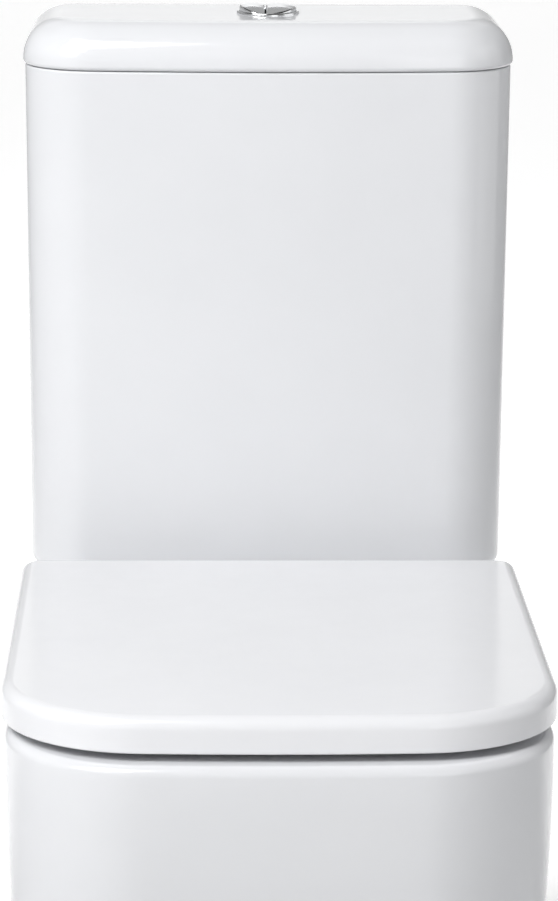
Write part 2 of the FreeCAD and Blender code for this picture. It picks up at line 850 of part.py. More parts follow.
cover = new_body("cover_shell")
cover_outline = outline(cover, "cover_outline", "tank_joint_z + cover_gap", TANK, "-cover_overhang")
cover_slab = raised(cover, "Pad", "cover_slab", cover_outline, "cover_top_z - tank_joint_z - cover_gap")
cover_top = design_fillet(cover, "cover_top_edge", cover_slab, "cover_edge_radius", level("cover_top_z"))
cover_low = design_fillet(
    cover, "cover_lower_edge", cover_top, "cover_lower_radius", level("tank_joint_z + cover_gap")
)
lip_z = "tank_joint_z - cover_lip"
lip_outline = outline(cover, "lip_outline", lip_z, TANK, "tank_wall + cover_lip_gap")
raised(cover, "Pad", "cover_lip_pad", lip_outline, "cover_lip + cover_gap + 2")
cavity_outline = outline(cover, "cavity_outline", lip_z, TANK, "tank_wall + cover_lip_gap + cover_lip_width")
raised(
    cover,
    "Pocket",
    "cover_cavity",
    cavity_outline,
    "cover_top_z - cover_thickness - tank_joint_z + cover_lip",
)
button_hole = cylinder(
    "button_hole",
    "button_radius + button_hole_gap",
    "cover_thickness + 2 * overrun",
    y="valve_y",
    z="cover_top_z - cover_thickness - overrun",
)
finish(cut("cover_ceramic", cover, button_hole), "cistern_lid")

# ---------------------------------------------------------------- push button in the cover
bezel_cup = turned(
    "bezel_cup",
    [
        ("0", "-bezel_depth"),
        ("button_radius + button_hole_gap - 0.3", "-bezel_depth"),
        ("button_radius + button_hole_gap - 0.3", "0"),
        ("bezel_radius", "0"),
        ("bezel_radius", "0.6"),
        ("bezel_radius - 0.5", "1.4"),
        ("button_radius + 0.9", "1.8"),
        ("button_radius + 0.3", "1.6"),
        ("button_radius + 0.3", "bezel_floor - bezel_depth"),
        ("0", "bezel_floor - bezel_depth"),
    ],
    y="valve_y",
    z="cover_top_z",
)
rod_guides = [
    cylinder(
        f"rod_guide_{side}",
        "rod_radius + 0.1",
        "bezel_floor + 2 * overrun",
        f"{sign} * rod_x",
        "valve_y",
        "cover_top_z - bezel_depth - overrun",
    )
    for side, sign in SIDES.items()
]
finish(cut("bezel", bezel_cup, *rod_guides), "button_bezel")
nut_z = "cover_top_z - cover_thickness - bezel_nut_height"
nut_ring = tube(
    "bezel_nut_ring", "bezel_nut_radius", "button_radius + button_hole_gap - 0.25", "bezel_nut_height",
    y="valve_y", z=nut_z,
)


def ring_of_bars(name, count, ring_radius, bar_radius, height, z):
    """Upright bars spaced evenly round the flush valve's axis."""
    return [
        cylinder(
            f"{name}_{i}",
            bar_radius,
            f"{height} + 2 * overrun",
            f"{ring_radius} * cos({360 / count * i})",
            f"valve_y + {ring_radius} * sin({360 / count * i})",
            f"{z} - overrun",
        )
        for i in range(count)
    ]


nut_grips = ring_of_bars("bezel_nut_grip", 12, "bezel_nut_radius", "grip_radius", "bezel_nut_height", nut_z)
finish(cut("bezel_nut", nut_ring, *nut_grips), "button_nut")

# the button is split into a large half for the full flush and a small half for the reduced flush
crest_x = {"full": "7.4", "half": "-11.3"}
crest_radius = {"full": "42", "half": "38"}
boss_x = {"full": "rod_x", "half": "-rod_x"}


def button_side(name, flush, gap, low_z):
    """All the space on the full or the half side of the split."""
    sides = {
        "full": (f"button_split_x + {gap}", "2 * button_radius"),
        "half": ("-2 * button_radius", f"button_split_x - ({gap})"),
    }
    high_z = "button_top_z + button_radius"
    return block(name, sides[flush], around("valve_y", "2 * button_radius"), (low_z, high_z))


def button_rim(edge):
    """Picks the edges of a button's face."""
    return edge.BoundBox.ZMin > value("button_top_z - 8")


skirt_z = "button_top_z - button_skirt"
for flush in ("full", "half"):
    drum = cylinder(f"{flush}_drum", "button_radius", "2 * button_skirt", y="valve_y", z=skirt_z)
    radius = crest_radius[flush]
    crest = ball(f"{flush}_crest", radius, crest_x[flush], "valve_y", f"button_top_z - {radius}")
    kept_side = button_side(f"{flush}_side", flush, "split_gap", skirt_z)
    domed = common(f"{flush}_domed", common(f"{flush}_blank", drum, crest), kept_side)
    soft = rounded(f"{flush}_soft", domed, "button_edge_radius", button_rim)
    core_drum = cylinder(
        f"{flush}_core",
        "button_radius - button_wall",
        "button_hollow",
        y="valve_y",
        z=f"{skirt_z} - overrun",
    )
    core_side = button_side(
        f"{flush}_core_side", flush, "split_gap + button_wall", f"{skirt_z} - 2 * overrun"
    )
    shell = cut(f"{flush}_shell", soft, common(f"{flush}_hollow", core_drum, core_side))
    boss_z = f"{skirt_z} + 1"
    boss = tube(
        f"{flush}_boss", "boss_radius", "rod_radius", "boss_height", boss_x[flush], "valve_y", boss_z
    )
    finish(fuse(f"{flush}_button_solid", shell, boss), f"{flush}_flush_button")
    rod = cylinder(
        f"{flush}_rod",
        "rod_radius",
        "button_top_z - 12 - head_top_z - 8",
        boss_x[flush],
        "valve_y",
        "head_top_z + 8",
    )
    finish(rod, f"{flush}_push_rod")
    plunger = turned(
        f"{flush}_plunger",
        [
            ("0", "-20"),
            ("plunger_radius - 1", "-20"),
            ("plunger_radius", "-19"),
            ("plunger_radius", "7"),
            ("plunger_radius - 0.6", "7.7"),
            ("0", "7.7"),
        ],
        boss_x[flush],
        "valve_y",
        "head_top_z",
    )
    finish(plunger, f"{flush}_actuator")

# ---------------------------------------------------------------- flush valve in the cistern
floor_z = "(tank_bottom_z + tank_floor)"
valve_base = turned(
    "valve_base_turned",
    [
        ("valve_bore", "-38"),
        ("valve_shank", "-38"),
        ("valve_shank", "valve_washer_height"),
        ("flange_radius", "valve_washer_height"),
        ("flange_radius", "cage_rise"),
        ("valve_bore + 3", "cage_rise"),
        ("valve_bore + 2", "cage_rise + 2"),
        ("valve_bore + 1", "cage_rise + 2"),
        ("valve_bore", "cage_rise"),
    ],
    y="valve_y",
    z=floor_z,
)
spider_z = ("spider_low_z", "spider_top_z")
spider = fuse(
    "valve_spider",
    block("valve_rib_x", around("0", "valve_bore + 1"), around("valve_y", "spider_half"), spider_z),
    block("valve_rib_y", around("0", "spider_half"), around("valve_y", "valve_bore + 1"), spider_z),
)
finish(fuse("valve_base", valve_base, spider), "flush_valve_base")
valve_washer = tube(
    "valve_washer", "flange_radius", "valve_shank + 0.1", "valve_washer_height", y="valve_y", z=floor_z
)
finish(valve_washer, "flush_valve_washer")
backnut_z = "tank_bottom_z - backnut_height"
backnut = tube(
    "valve_backnut_ring", "backnut_radius", "valve_shank + 0.1", "backnut_height", y="valve_y", z=backnut_z
)
scallops = ring_of_bars("valve_backnut_scallop", 8, "backnut_radius", "3", "backnut_height", backnut_z)
finish(cut("valve_backnut", backnut, *scallops), "flush_valve_backnut")
gasket = turned(
    "gasket_turned",
    [
        ("gasket_bore", "0"),
        ("gasket_radius", "0"),
        ("gasket_radius", "gasket_height - 1"),
        ("gasket_radius - 1", "gasket_height"),
        ("gasket_bore + 1", "gasket_height"),
        ("gasket_bore", "gasket_height - 1"),
    ],
    y="valve_y",
    z="rim_z",
)
finish(gasket, "coupling_gasket")

cage_z = f"{floor_z} + cage_rise"
cage_height = f"cage_top_z - {floor_z} - cage_rise"
cage = turned(
    "cage_turned",
    [
        ("cage_radius - cage_wall", "0"),
        ("cage_radius", "0"),
        ("cage_radius", cage_height),
        ("core_radius + 0.1", cage_height),
        ("core_radius + 0.1", f"{cage_height} - 4"),
        ("cage_radius - cage_wall", f"{cage_height} - 4"),
    ],
    y="valve_y",
    z=cage_z,
)
windows = []
narrow, wide = "window_half", "cage_radius + overrun"
for tier, height in enumerate(("window_height", "window_height", "window_height - 14")):
    low_z = f"window_first_z + {tier} * window_pitch"
    tier_z = (low_z, f"{low_z} + {height}")
    windows += [
        block(f"cage_window_x_{tier}", around("0", wide), around("valve_y", narrow), tier_z),
        block(f"cage_window_y_{tier}", around("0", narrow), around("valve_y", wide), tier_z),
    ]
finish(cut("cage", cage, *windows), "flush_valve_cage")
core = turned(
    "core_turned",
    [
        ("core_radius - 2.5", "0"),
        ("core_radius + 2", "0"),
        ("core_radius + 2", "4"),
        ("valve_bore + 1.5", "4"),
        ("valve_bore + 1.5", "8"),
        ("core_radius + 4", "12"),
        ("core_radius", "14"),
        ("core_radius", f"core_top_z - {floor_z} - core_seat"),
        ("core_radius - 2.5", f"core_top_z - {floor_z} - core_seat"),
    ],
    y="valve_y",
    z=f"{floor_z} + core_seat",
)
finish(core, "flush_valve_core")
seal = tube("seal_ring", "valve_bore + 3", "core_radius + 2", "4", y="valve_y", z=f"{floor_z} + core_seat")
finish(seal, "flush_seal")
head_cup = turned(
    "head_cup",
    [
        ("head_radius - head_wall", "cage_top_z"),
        ("head_radius", "cage_top_z"),
        ("head_radius", "head_top_z - 4"),
        ("head_radius - 2", "head_top_z"),
        ("0", "head_top_z"),
        ("0", "head_top_z - head_roof"),
        ("head_radius - head_wall", "head_top_z - head_roof"),
    ],
    y="valve_y",
)
head_bores = [
    cylinder(
        f"head_bore_{side}",
        "plunger_radius + 0.1",
        "head_roof + 2 * overrun",
        f"{sign} * rod_x",
        "valve_y",
        "head_top_z - head_roof - overrun",
    )
    for side, sign in SIDES.items()
]
head_window = block(
    "head_window",
    around("0", "window_half - 3"),
    around("valve_y", "head_radius + overrun"),
    ("cage_top_z + 10", "head_top_z - 30"),
)
finish(cut("valve_head", head_cup, head_window, *head_bores), "flush_valve_head")

# ---------------------------------------------------------------- fill valve in the cistern
nose_z = f"fill_foot_z + fill_nose_length - {floor_z}"
fill_column = turned(
    "fill_column",
    [
        ("fill_bore", f"fill_foot_z - {floor_z}"),
        ("fill_nose", f"fill_foot_z - {floor_z}"),
        ("fill_nose", nose_z),
        ("fill_nose - undercut", nose_z),
        ("fill_nose - undercut", f"{nose_z} + 2"),
        ("fill_shank", f"{nose_z} + 2"),
        ("fill_shank", "washer_height"),
        ("fill_flange", "washer_height"),
        ("fill_flange", "7"),
        ("fill_pipe", "12"),
        ("fill_pipe", f"float_bottom_z - 8 - {floor_z}"),
        ("fill_flange", f"float_bottom_z - 4 - {floor_z}"),
        ("fill_flange", f"float_bottom_z - buffer_gap - {floor_z}"),
        ("fill_pipe", f"float_bottom_z - buffer_gap - {floor_z}"),
        ("fill_pipe", f"fill_top_z - {floor_z}"),
        ("fill_bore", f"fill_top_z - {floor_z}"),
    ],
    "fill_x",
    "fill_y",
    floor_z,
)
finish(fill_column, "fill_valve_body")
fill_washer = tube(
    "fill_washer", "fill_washer_radius", "fill_shank + 0.1", "washer_height", "fill_x", "fill_y", floor_z
)
finish(fill_washer, "fill_valve_washer")
fill_nut_z = "tank_bottom_z - fill_nut_height"
fill_nut = prism("fill_nut_hex", "fill_nut_radius", "fill_nut_height", "fill_x", "fill_y", fill_nut_z)
fill_nut_bore = cylinder(
    "fill_nut_bore",
    "fill_shank + 0.05",
    "fill_nut_height + 2 * overrun",
    "fill_x",
    "fill_y",
    f"{fill_nut_z} - overrun",
)
finish(cut("fill_nut", fill_nut, fill_nut_bore), "fill_valve_backnut")
cap_turned = turned(
    "fill_cap_turned",
    [
        ("0", "0"),
        ("fill_pipe", "0"),
        ("fill_cap_radius", "4"),
        ("fill_cap_radius", "fill_cap_height - 10"),
        ("fill_cap_radius - 5", "fill_cap_height - 2"),
        ("0", "fill_cap_height"),
    ],
    "fill_x",
    "fill_y",
    "fill_top_z",
)
cap_ear = block(
    "fill_cap_ear",
    ("fill_x + fill_cap_radius / 2", "fill_x + float_rod_x + 5"),
    around("fill_y", "5"),
    ("fill_top_z + 6", "fill_top_z + 12"),
)
ear_hole = cylinder(
    "fill_ear_hole", "float_rod_radius + 0.1", "20", "fill_x + float_rod_x", "fill_y", "fill_top_z"
)
finish(cut("fill_cap", fuse("fill_cap_solid", cap_turned, cap_ear), ear_hole), "fill_valve_cap")
float_cup = turned(
    "float_turned",
    [
        ("fill_pipe + 0.1", "0"),
        ("fill_pipe + 0.1 + float_wall", "0"),
        ("fill_pipe + 0.1 + float_wall", "float_height - 8"),
        ("float_radius - float_wall", "float_height - 8"),
        ("float_radius - float_wall", "0"),
        ("float_radius", "0"),
        ("float_radius", "float_height - 3"),
        ("float_radius - 3", "float_height"),
        ("fill_pipe + 0.1", "float_height"),
    ],
    "fill_x",
    "fill_y",
    "float_bottom_z",
)
finish(float_cup, "float_cup")
float_rod = cylinder(
    "float_rod_bar",
    "float_rod_radius",
    "fill_top_z - float_bottom_z - 40",
    "fill_x + float_rod_x",
    "fill_y",
    "float_bottom_z + float_height",
)
finish(float_rod, "float_rod")

# ---------------------------------------------------------------- bolts that hold the cistern on the pan
under_deck_z = "(rim_z - deck_thickness)"


def washer(name, node, outer, gap, x, y, z):
    """A flat washer on a bolt, standing on height z."""
    finish(tube(name, outer, f"bolt_radius + {gap}", "washer_height", x, y, z), node)


def wing_nut(name, node, x, y, hub_height, wing_drop):
    """A wing nut under the washer that bears on the deck from below."""
    top_z = f"{under_deck_z} - washer_height"
    hub = cylinder(f"{name}_hub", "wing_hub_radius", hub_height, x, y, f"{top_z} - {hub_height}")
    wings = block(
        f"{name}_wings",
        around(x, "wing_half_thickness"),
        around(y, "wing_half_span"),
        (f"{top_z} - {wing_drop} - wing_height", f"{top_z} - {wing_drop}"),
    )
    bore = cylinder(f"{name}_bore", "bolt_radius + 0.05", "40", x, y, f"{top_z} - 28")
    finish(cut(name, fuse(f"{name}_solid", hub, wings), bore), node)


for side, sign in SIDES.items():
    x = f"{sign} * coupling_x"
    bolt = turned(
        f"coupling_bolt_{side}_body",
        [
            ("0", "-bolt_length"),
            ("bolt_radius - 1", "-bolt_length"),
            ("bolt_radius", "1 - bolt_length"),
            ("bolt_radius", "washer_height"),
            ("bolt_head_radius", "washer_height"),
            ("bolt_head_radius", "2 * washer_height"),
            ("bolt_head_radius - 3", "2 * washer_height + 2.5"),
            ("0", "2 * washer_height + 2.5"),
        ],
        x,
        "valve_y",
        floor_z,
    )
    slot = block(
        f"bolt_slot_{side}",
        around(x, "bolt_head_radius + overrun"),
        around("valve_y", "0.8"),
        (f"{floor_z} + 7", f"{floor_z} + 10"),
    )
    finish(cut(f"coupling_bolt_{side}_cut", bolt, slot), f"coupling_bolt_{side}")
    washer(f"bolt_washer_{side}_ring", f"bolt_washer_{side}", "13", "0.1", x, "valve_y", floor_z)
    washer(
        f"under_washer_{side}_ring", f"under_washer_{side}", "14", "0.3", x, "valve_y",
        f"{under_deck_z} - washer_height",
    )
    wing_nut(f"wing_nut_{side}", f"coupling_nut_{side}", x, "valve_y", "10", "3")

# ---------------------------------------------------------------- seat ring
SEAT = {
    "front": "seat_front_y",
    "back": "seat_back_y",
    "half_front": "seat_half_width",
    "half_back": "seat_half_width_back",
    "corner": "seat_corner",
    "rear_corner": "seat_rear_corner",
    "bow": "lid_bow",
}
ring_body = new_body("ring_slab")
ring_outline = outline(ring_body, "ring_outline", "seat_bottom_z", SEAT)
ring_pad = raised(ring_body, "Pad", "ring_pad", ring_outline, "seat_top_z - seat_bottom_z")
design_fillet(ring_body, "ring_top_edge", ring_pad, "seat_edge_radius", level("seat_top_z"))
hole_ellipse = level_ellipse(
    "ring_hole_edge",
    "seat_bottom_z - overrun",
    "seat_hole_y",
    "seat_hole_half_length",
    "seat_hole_half_width",
)
hole_bar = doc.addObject("Part::Extrusion", "ring_hole")
hole_bar.Base = hole_ellipse
hole_bar.Dir = Vector(0, 0, 1)
hole_bar.DirMode = "Custom"
hole_bar.Solid = True
bind(hole_bar, "LengthFwd", "seat_top_z - seat_bottom_z + 2 * overrun")
ring_open = cut("ring_open", ring_body, hole_bar)
inner_limit = value("seat_hole_half_width") + 5


def opening_edge(edge):
    """Picks the upper edge of the opening."""
    box = edge.BoundBox
    return level("seat_top_z")(edge) and max(box.XMax, -box.XMin) < inner_limit and box.YLength > 100


ring_soft = rounded("ring_soft", ring_open, "seat_edge_radius", opening_edge)


def hinge_bar(name, radius, low, high):
    """A round bar along the hinge axis."""
    return cylinder(name, radius, f"({high}) - ({low})", low, "hinge_y", "hinge_z", ALONG_X)


def span(sign, low, high):
    """Limits along X, mirrored to the left for a negative sign."""
    return (low, high) if sign > 0 else (f"-({high})", f"-({low})")


def knuckle(name, sign, low, high, cartridge, arm_y, arm_z):
    """A hinge barrel on its arm, with a pin bore and, where a cartridge sits, a wider bore."""
    ends = span(sign, low, high)
    barrel = hinge_bar(f"{name}_barrel", "hinge_radius", *ends)
    solid = fuse(f"{name}_solid", barrel, block(f"{name}_arm", ends, arm_y, arm_z))
    bore_ends = span(sign, f"{low} - overrun", f"{high} + overrun")
    bores = [hinge_bar(f"{name}_bore", "hinge_pin_radius + running_gap", *bore_ends)]
    if cartridge:
        wide_ends = span(sign, *cartridge)
        bores.append(hinge_bar(f"{name}_cartridge_bore", "hinge_radius - damper_gap", *wide_ends))
    return solid, bores


ring_solids, ring_bores = [], []
for side, sign in SIDES.items():
    cartridge = ("knuckle_start - overrun", "ring_cartridge_end") if sign > 0 else None
    solid, bores = knuckle(
        f"ring_knuckle_{side}",
        sign,
        "knuckle_start" if sign > 0 else "ring_knuckle_start",
        "ring_knuckle_end",
        cartridge,
        ("seat_back_y - 6", "hinge_y"),
        ("hinge_z - 4", "seat_top_z - 0.5"),
    )
    ring_solids.append(solid)
    ring_bores += bores
finish(cut("ring", fuse("ring_solid", ring_soft, *ring_solids), *ring_bores), "seat_ring")

# ---------------------------------------------------------------- lid
LID = {
    "front": "lid_front_y",
    "back": "lid_back_y",
    "half_front": "lid_half_width",
    "half_back": "lid_half_width_back",
    "corner": "lid_corner",
    "rear_corner": "lid_rear_corner",
    "bow": "lid_bow",
}
lid_body = new_body("lid_slab")
lid_outline = outline(lid_body, "lid_outline", "lid_skirt_z", LID)
lid_pad = raised(lid_body, "Pad", "lid_pad", lid_outline, "lid_top_z - lid_skirt_z")
design_fillet(lid_body, "lid_top_edge", lid_pad, "lid_edge_radius", level("lid_top_z"))
lid_inner = outline(lid_body, "lid_inner", "lid_skirt_z", LID, "lid_wall")
raised(lid_body, "Pocket", "lid_hollow", lid_inner, "lid_ceiling_z - lid_skirt_z")
lid_solids, lid_bores, lid_cuts = [], [], []
for side, sign in SIDES.items():
    cartridge = ("lid_cartridge_start", "lid_cartridge_end + overrun") if sign < 0 else None
    solid, bores = knuckle(
        f"lid_knuckle_{side}",
        sign,
        "lid_knuckle_start",
        "lid_cartridge_end" if sign < 0 else "lid_knuckle_end",
        cartridge,
        around("hinge_y", "hinge_radius - 0.5"),
        ("hinge_z", "lid_ceiling_z + 1"),
    )
    lid_solids.append(solid)
    lid_bores += bores
    lid_cuts.append(
        block(
            f"lid_post_notch_{side}",
            span(sign, "post_start - 1.5", "post_end + 2"),
            ("lid_back_y - lid_wall - 1", "lid_back_y + 1"),
            ("lid_skirt_z - 1", "lid_ceiling_z"),
        )
    )
lid_cuts.append(
    block(
        "lid_rear_relief",
        ("-lid_half_width + 8", "lid_half_width - 8"),
        ("lid_back_y - lid_wall - 1", "lid_back_y + 1"),
        ("lid_skirt_z - 1", "lid_rear_skirt_z"),
    )
)
lid_solid = fuse("lid_solid", lid_body, *lid_solids)
finish(cut("lid", lid_solid, *lid_bores, *lid_cuts), "seat_lid")

# ---------------------------------------------------------------- hinge posts, pins and soft close dampers
for side, sign in SIDES.items():
    x = f"{sign} * hinge_bolt_x"
    foot = cylinder(f"post_foot_{side}", "post_foot_radius", "post_foot_height", x, "hinge_bolt_y", "rim_z")
    block_x = span(sign, "post_start", "post_end")
    inside_foot_z = "rim_z + post_foot_height / 2"
    neck = block(f"post_neck_{side}", block_x, ("hinge_y - 6", "hinge_y + 5"), (inside_foot_z, "hinge_z"))
    pedestal = block(
        f"post_pedestal_{side}", block_x, ("seat_back_y + 2", "hinge_y + 5"), (inside_foot_z, "rim_z + 10")
    )
    barrel = hinge_bar(f"post_barrel_{side}", "hinge_radius", *block_x)
    post_solid = fuse(f"post_solid_{side}", foot, neck, pedestal, barrel)
    pin_ends = span(sign, "post_start - overrun", "post_end + overrun")
    pin_hole = hinge_bar(f"post_pin_hole_{side}", "hinge_pin_radius", *pin_ends)
    bolt_hole = cylinder(f"post_bolt_hole_{side}", "bolt_radius", "12", x, "hinge_bolt_y", "rim_z - 4")
    finish(cut(f"post_{side}", post_solid, pin_hole, bolt_hole), f"hinge_post_{side}")
    pin = hinge_bar(f"pin_{side}", "hinge_pin_radius", *span(sign, "hinge_pin_start", "hinge_pin_end"))
    finish(pin, f"hinge_pin_{side}")
    stud = turned(
        f"seat_stud_{side}",
        [
            ("0", "-seat_bolt_length"),
            ("bolt_radius - 1", "-seat_bolt_length"),
            ("bolt_radius", "1 - seat_bolt_length"),
            ("bolt_radius", "2 * post_foot_height"),
            ("0", "2 * post_foot_height"),
        ],
        x,
        "hinge_bolt_y",
        "rim_z",
    )
    finish(stud, f"hinge_bolt_{side}")
    washer(
        f"hinge_washer_{side}_ring", f"hinge_washer_{side}", "13", "0.3", x, "hinge_bolt_y",
        f"{under_deck_z} - washer_height",
    )
    wing_nut(f"hinge_wing_nut_{side}", f"hinge_nut_{side}", x, "hinge_bolt_y", "12", "5")


def damper(name, x, length):
    """A soft close cartridge: a capped plug that fills the wide bore of a knuckle."""
    plug = "hinge_radius - damper_gap - 0.05"
    cap = "hinge_radius - 0.5"
    profile = [("0", "0"), (cap, "0"), (cap, "damper_cap")]
    profile += [(plug, "damper_cap"), (plug, length), ("0", length)]
    return turned(name, profile, x, "hinge_y", "hinge_z", ALONG_X)


finish(damper("seat_damper_turned", "knuckle_start - damper_cap", "34"), "seat_damper")
finish(damper("lid_damper_turned", "-lid_cartridge_end - damper_cap", "28"), "lid_damper")


def buffers(node, radius, height, z):
    """Four soft feet, two near the hinge and two near the front."""
    feet = [
        cylinder(f"{node}_{side}_{row}", radius, height, f"{sign} * {x}", y, z)
        for side, sign in SIDES.items()
        for row, (x, y) in (("back", ("150", "25")), ("front", ("120", "-268")))
    ]
    finish(fuse(f"{node}_feet", *feet), node)


buffers("seat_bumpers", "8", "seat_bottom_z - rim_z - buffer_gap", "rim_z + buffer_gap")
buffers("lid_bumpers", "6", "lid_ceiling_z - seat_top_z - buffer_gap", "seat_top_z + buffer_gap")

# ---------------------------------------------------------------- checks and export
doc.recompute()
for item in doc.Objects:
    if "Invalid" in item.State or "Error" in item.State:
        raise RuntimeError(f"{item.Name} did not recompute: {item.State}")
os.makedirs("parts", exist_ok=True)
for item in finished:
    if item.Shape.isNull() or not item.Shape.isValid():
        raise RuntimeError(f"{item.Label} is not a valid solid")
    item.Shape.exportStep(f"parts/{item.Label}.step")
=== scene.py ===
import json
import math

import bmesh
import bpy
from mathutils import Matrix, Vector


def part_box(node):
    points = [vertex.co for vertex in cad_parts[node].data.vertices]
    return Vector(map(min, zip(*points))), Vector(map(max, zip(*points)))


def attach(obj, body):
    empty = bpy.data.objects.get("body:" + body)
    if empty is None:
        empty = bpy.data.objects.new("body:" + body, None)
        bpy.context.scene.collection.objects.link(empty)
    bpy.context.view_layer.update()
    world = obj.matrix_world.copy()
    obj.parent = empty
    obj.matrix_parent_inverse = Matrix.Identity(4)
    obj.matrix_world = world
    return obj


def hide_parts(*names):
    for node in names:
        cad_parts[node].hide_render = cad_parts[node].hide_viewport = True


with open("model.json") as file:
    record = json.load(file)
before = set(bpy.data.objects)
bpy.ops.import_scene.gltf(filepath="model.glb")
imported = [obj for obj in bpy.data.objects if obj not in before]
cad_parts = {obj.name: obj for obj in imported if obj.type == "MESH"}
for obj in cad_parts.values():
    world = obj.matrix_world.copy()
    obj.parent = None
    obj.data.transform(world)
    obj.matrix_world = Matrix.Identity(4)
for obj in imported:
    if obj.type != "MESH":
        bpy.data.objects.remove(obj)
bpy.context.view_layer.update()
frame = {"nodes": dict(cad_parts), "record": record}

MM = 0.001

# Places and sizes that several pieces share
VALVE_Y = 230 * MM
COUPLING_X = 80 * MM
TANK_CORNER, TANK_REAR_CORNER, TANK_BOW = 52 * MM, 34 * MM, 1.5
BUTTON_RADIUS, BUTTON_GAP = 21.2 * MM, 0.3 * MM
PAN_BOW = 1.9
SIDE_TAPER = 3 * MM
HINGE = (103 * MM, 424 * MM)
BARREL, PIN_BORE, DAMPER_BORE = 6 * MM, 3.08 * MM, 4.6 * MM

# Most values of a noise texture lie between these two
NOISE_LOW, NOISE_HIGH = 0.3, 0.7
SHARP_ANGLE = math.radians(38)
# A ring this far towards a pole leaves a small disc of triangles
NEAR_POLE = 0.96


# ---------------------------------------------------------------- materials
class Nodes:
    """A short way to write a material's node tree."""

    def __init__(self, name):
        self.material = bpy.data.materials.new(name)
        self.material.use_nodes = True
        self.tree = self.material.node_tree
        self.shader = next(node for node in self.tree.nodes if node.type == "BSDF_PRINCIPLED")
        self.place = self.add("ShaderNodeTexCoord").outputs["Object"]

    def add(self, kind, **settings):
        node = self.tree.nodes.new(kind)
        for key, setting in settings.items():
            setattr(node, key, setting)
        return node

    def link(self, source, target):
        self.tree.links.new(source, target)
        return target

    def set(self, **sockets):
        for name, number in sockets.items():
            self.shader.inputs[name.replace("_", " ")].default_value = number

    def noise(self, scale, detail=2.0, roughness=0.5, stretch=None):
        """Noise in object space; the scale is in features per metre."""
        node = self.add("ShaderNodeTexNoise")
        node.inputs["Scale"].default_value = scale
        node.inputs["Detail"].default_value = detail
        node.inputs["Roughness"].default_value = roughness
        source = self.place
        if stretch:
            mapping = self.add("ShaderNodeMapping")
            mapping.inputs["Scale"].default_value = stretch
            self.link(source, mapping.inputs["Vector"])
            source = mapping.outputs["Vector"]
        self.link(source, node.inputs["Vector"])
        return node.outputs["Fac"]

    def spread(self, value, low, high):
        """Maps noise around its middle to the range from low to high."""
        node = self.add("ShaderNodeMapRange")
        node.inputs["From Min"].default_value = NOISE_LOW
        node.inputs["From Max"].default_value = NOISE_HIGH
        node.inputs["To Min"].default_value = low
        node.inputs["To Max"].default_value = high
        self.link(value, node.inputs["Value"])
        return node.outputs["Result"]

    def fade(self, value, start, end, strength):
        """Rises softly from nothing at the start to the strength at the end."""
        node = self.add("ShaderNodeMapRange", interpolation_type="SMOOTHSTEP")
        node.inputs["From Min"].default_value = start
        node.inputs["From Max"].default_value = end
        node.inputs["To Max"].default_value = strength
        self.link(value, node.inputs["Value"])
        return node.outputs["Result"]

    def shades(self, value, dark, light):
        """Base colour that wanders between two tones."""
        ramp = self.add("ShaderNodeValToRGB")
        ramp.color_ramp.elements[0].position = NOISE_LOW
        ramp.color_ramp.elements[1].position = NOISE_HIGH
        ramp.color_ramp.elements[0].color = (*dark, 1)
        ramp.color_ramp.elements[1].color = (*light, 1)
        self.link(value, ramp.inputs["Fac"])
        self.link(ramp.outputs["Color"], self.shader.inputs["Base Color"])

    def rough(self, value, low, high):
        self.link(self.spread(value, low, high), self.shader.inputs["Roughness"])

    def bump(self, *layers):
        """Stacks (height, strength, distance in metres) layers."""
        normal = None
        for height, strength, distance in layers:
            node = self.add("ShaderNodeBump")
            node.inputs["Strength"].default_value = strength
            node.inputs["Distance"].default_value = distance
            self.link(height, node.inputs["Height"])
            if normal:
                self.link(normal, node.inputs["Normal"])
            normal = node.outputs["Normal"]
        self.link(normal, self.shader.inputs["Normal"])


def glazed_china():
    """White body under a clear glaze that pooled in long, faint waves."""
    m = Nodes("vitreous china")
    m.shades(m.noise(9, 3), (0.795, 0.804, 0.826), (0.815, 0.823, 0.845))
    m.rough(m.noise(14, 3), 0.07, 0.12)
    m.set(IOR=1.52, Specular_IOR_Level=0.5)
    m.bump((m.noise(11, 2), 0.25, 0.0009), (m.noise(90, 2), 0.08, 0.0002))
    return m.material


def seat_plastic():
    """Moulded thermoset with a hard gloss and a hint of moulding ripple."""
    m = Nodes("seat plastic")
    m.shades(m.noise(12, 2), (0.852, 0.858, 0.880), (0.868, 0.874, 0.895))
    m.rough(m.noise(60, 4), 0.12, 0.18)
    m.set(IOR=1.49)
    m.bump((m.noise(18, 2), 0.1, 0.0005), (m.noise(420, 3), 0.05, 0.00006))
    return m.material


def chrome():
    """Bright plate with faint wiping marks."""
    m = Nodes("chrome plate")
    m.set(Metallic=1.0)
    m.shades(m.noise(60, 2), (0.80, 0.81, 0.825), (0.86, 0.87, 0.88))
    m.rough(m.noise(240, 4, stretch=(1, 0.25, 1)), 0.12, 0.20)
    m.bump((m.noise(300, 3, stretch=(1, 0.2, 1)), 0.05, 0.00004))
    return m.material


def moulded(name, dark, light, rough_low=0.38, rough_high=0.5, grain=500):
    """Injection moulded plastic with a fine satin grain."""
    m = Nodes(name)
    m.shades(m.noise(30, 3), dark, light)
    m.rough(m.noise(grain / 4, 3), rough_low, rough_high)
    m.set(IOR=1.48)
    m.bump((m.noise(grain, 3), 0.15, 0.00012), (m.noise(40, 2), 0.1, 0.0002))
    return m.material


def rubber(name, dark, light):
    """Matt moulded rubber."""
    m = Nodes(name)
    m.shades(m.noise(80, 4), dark, light)
    m.rough(m.noise(200, 4), 0.55, 0.75)
    m.bump((m.noise(900, 4), 0.25, 0.00012),)
    return m.material


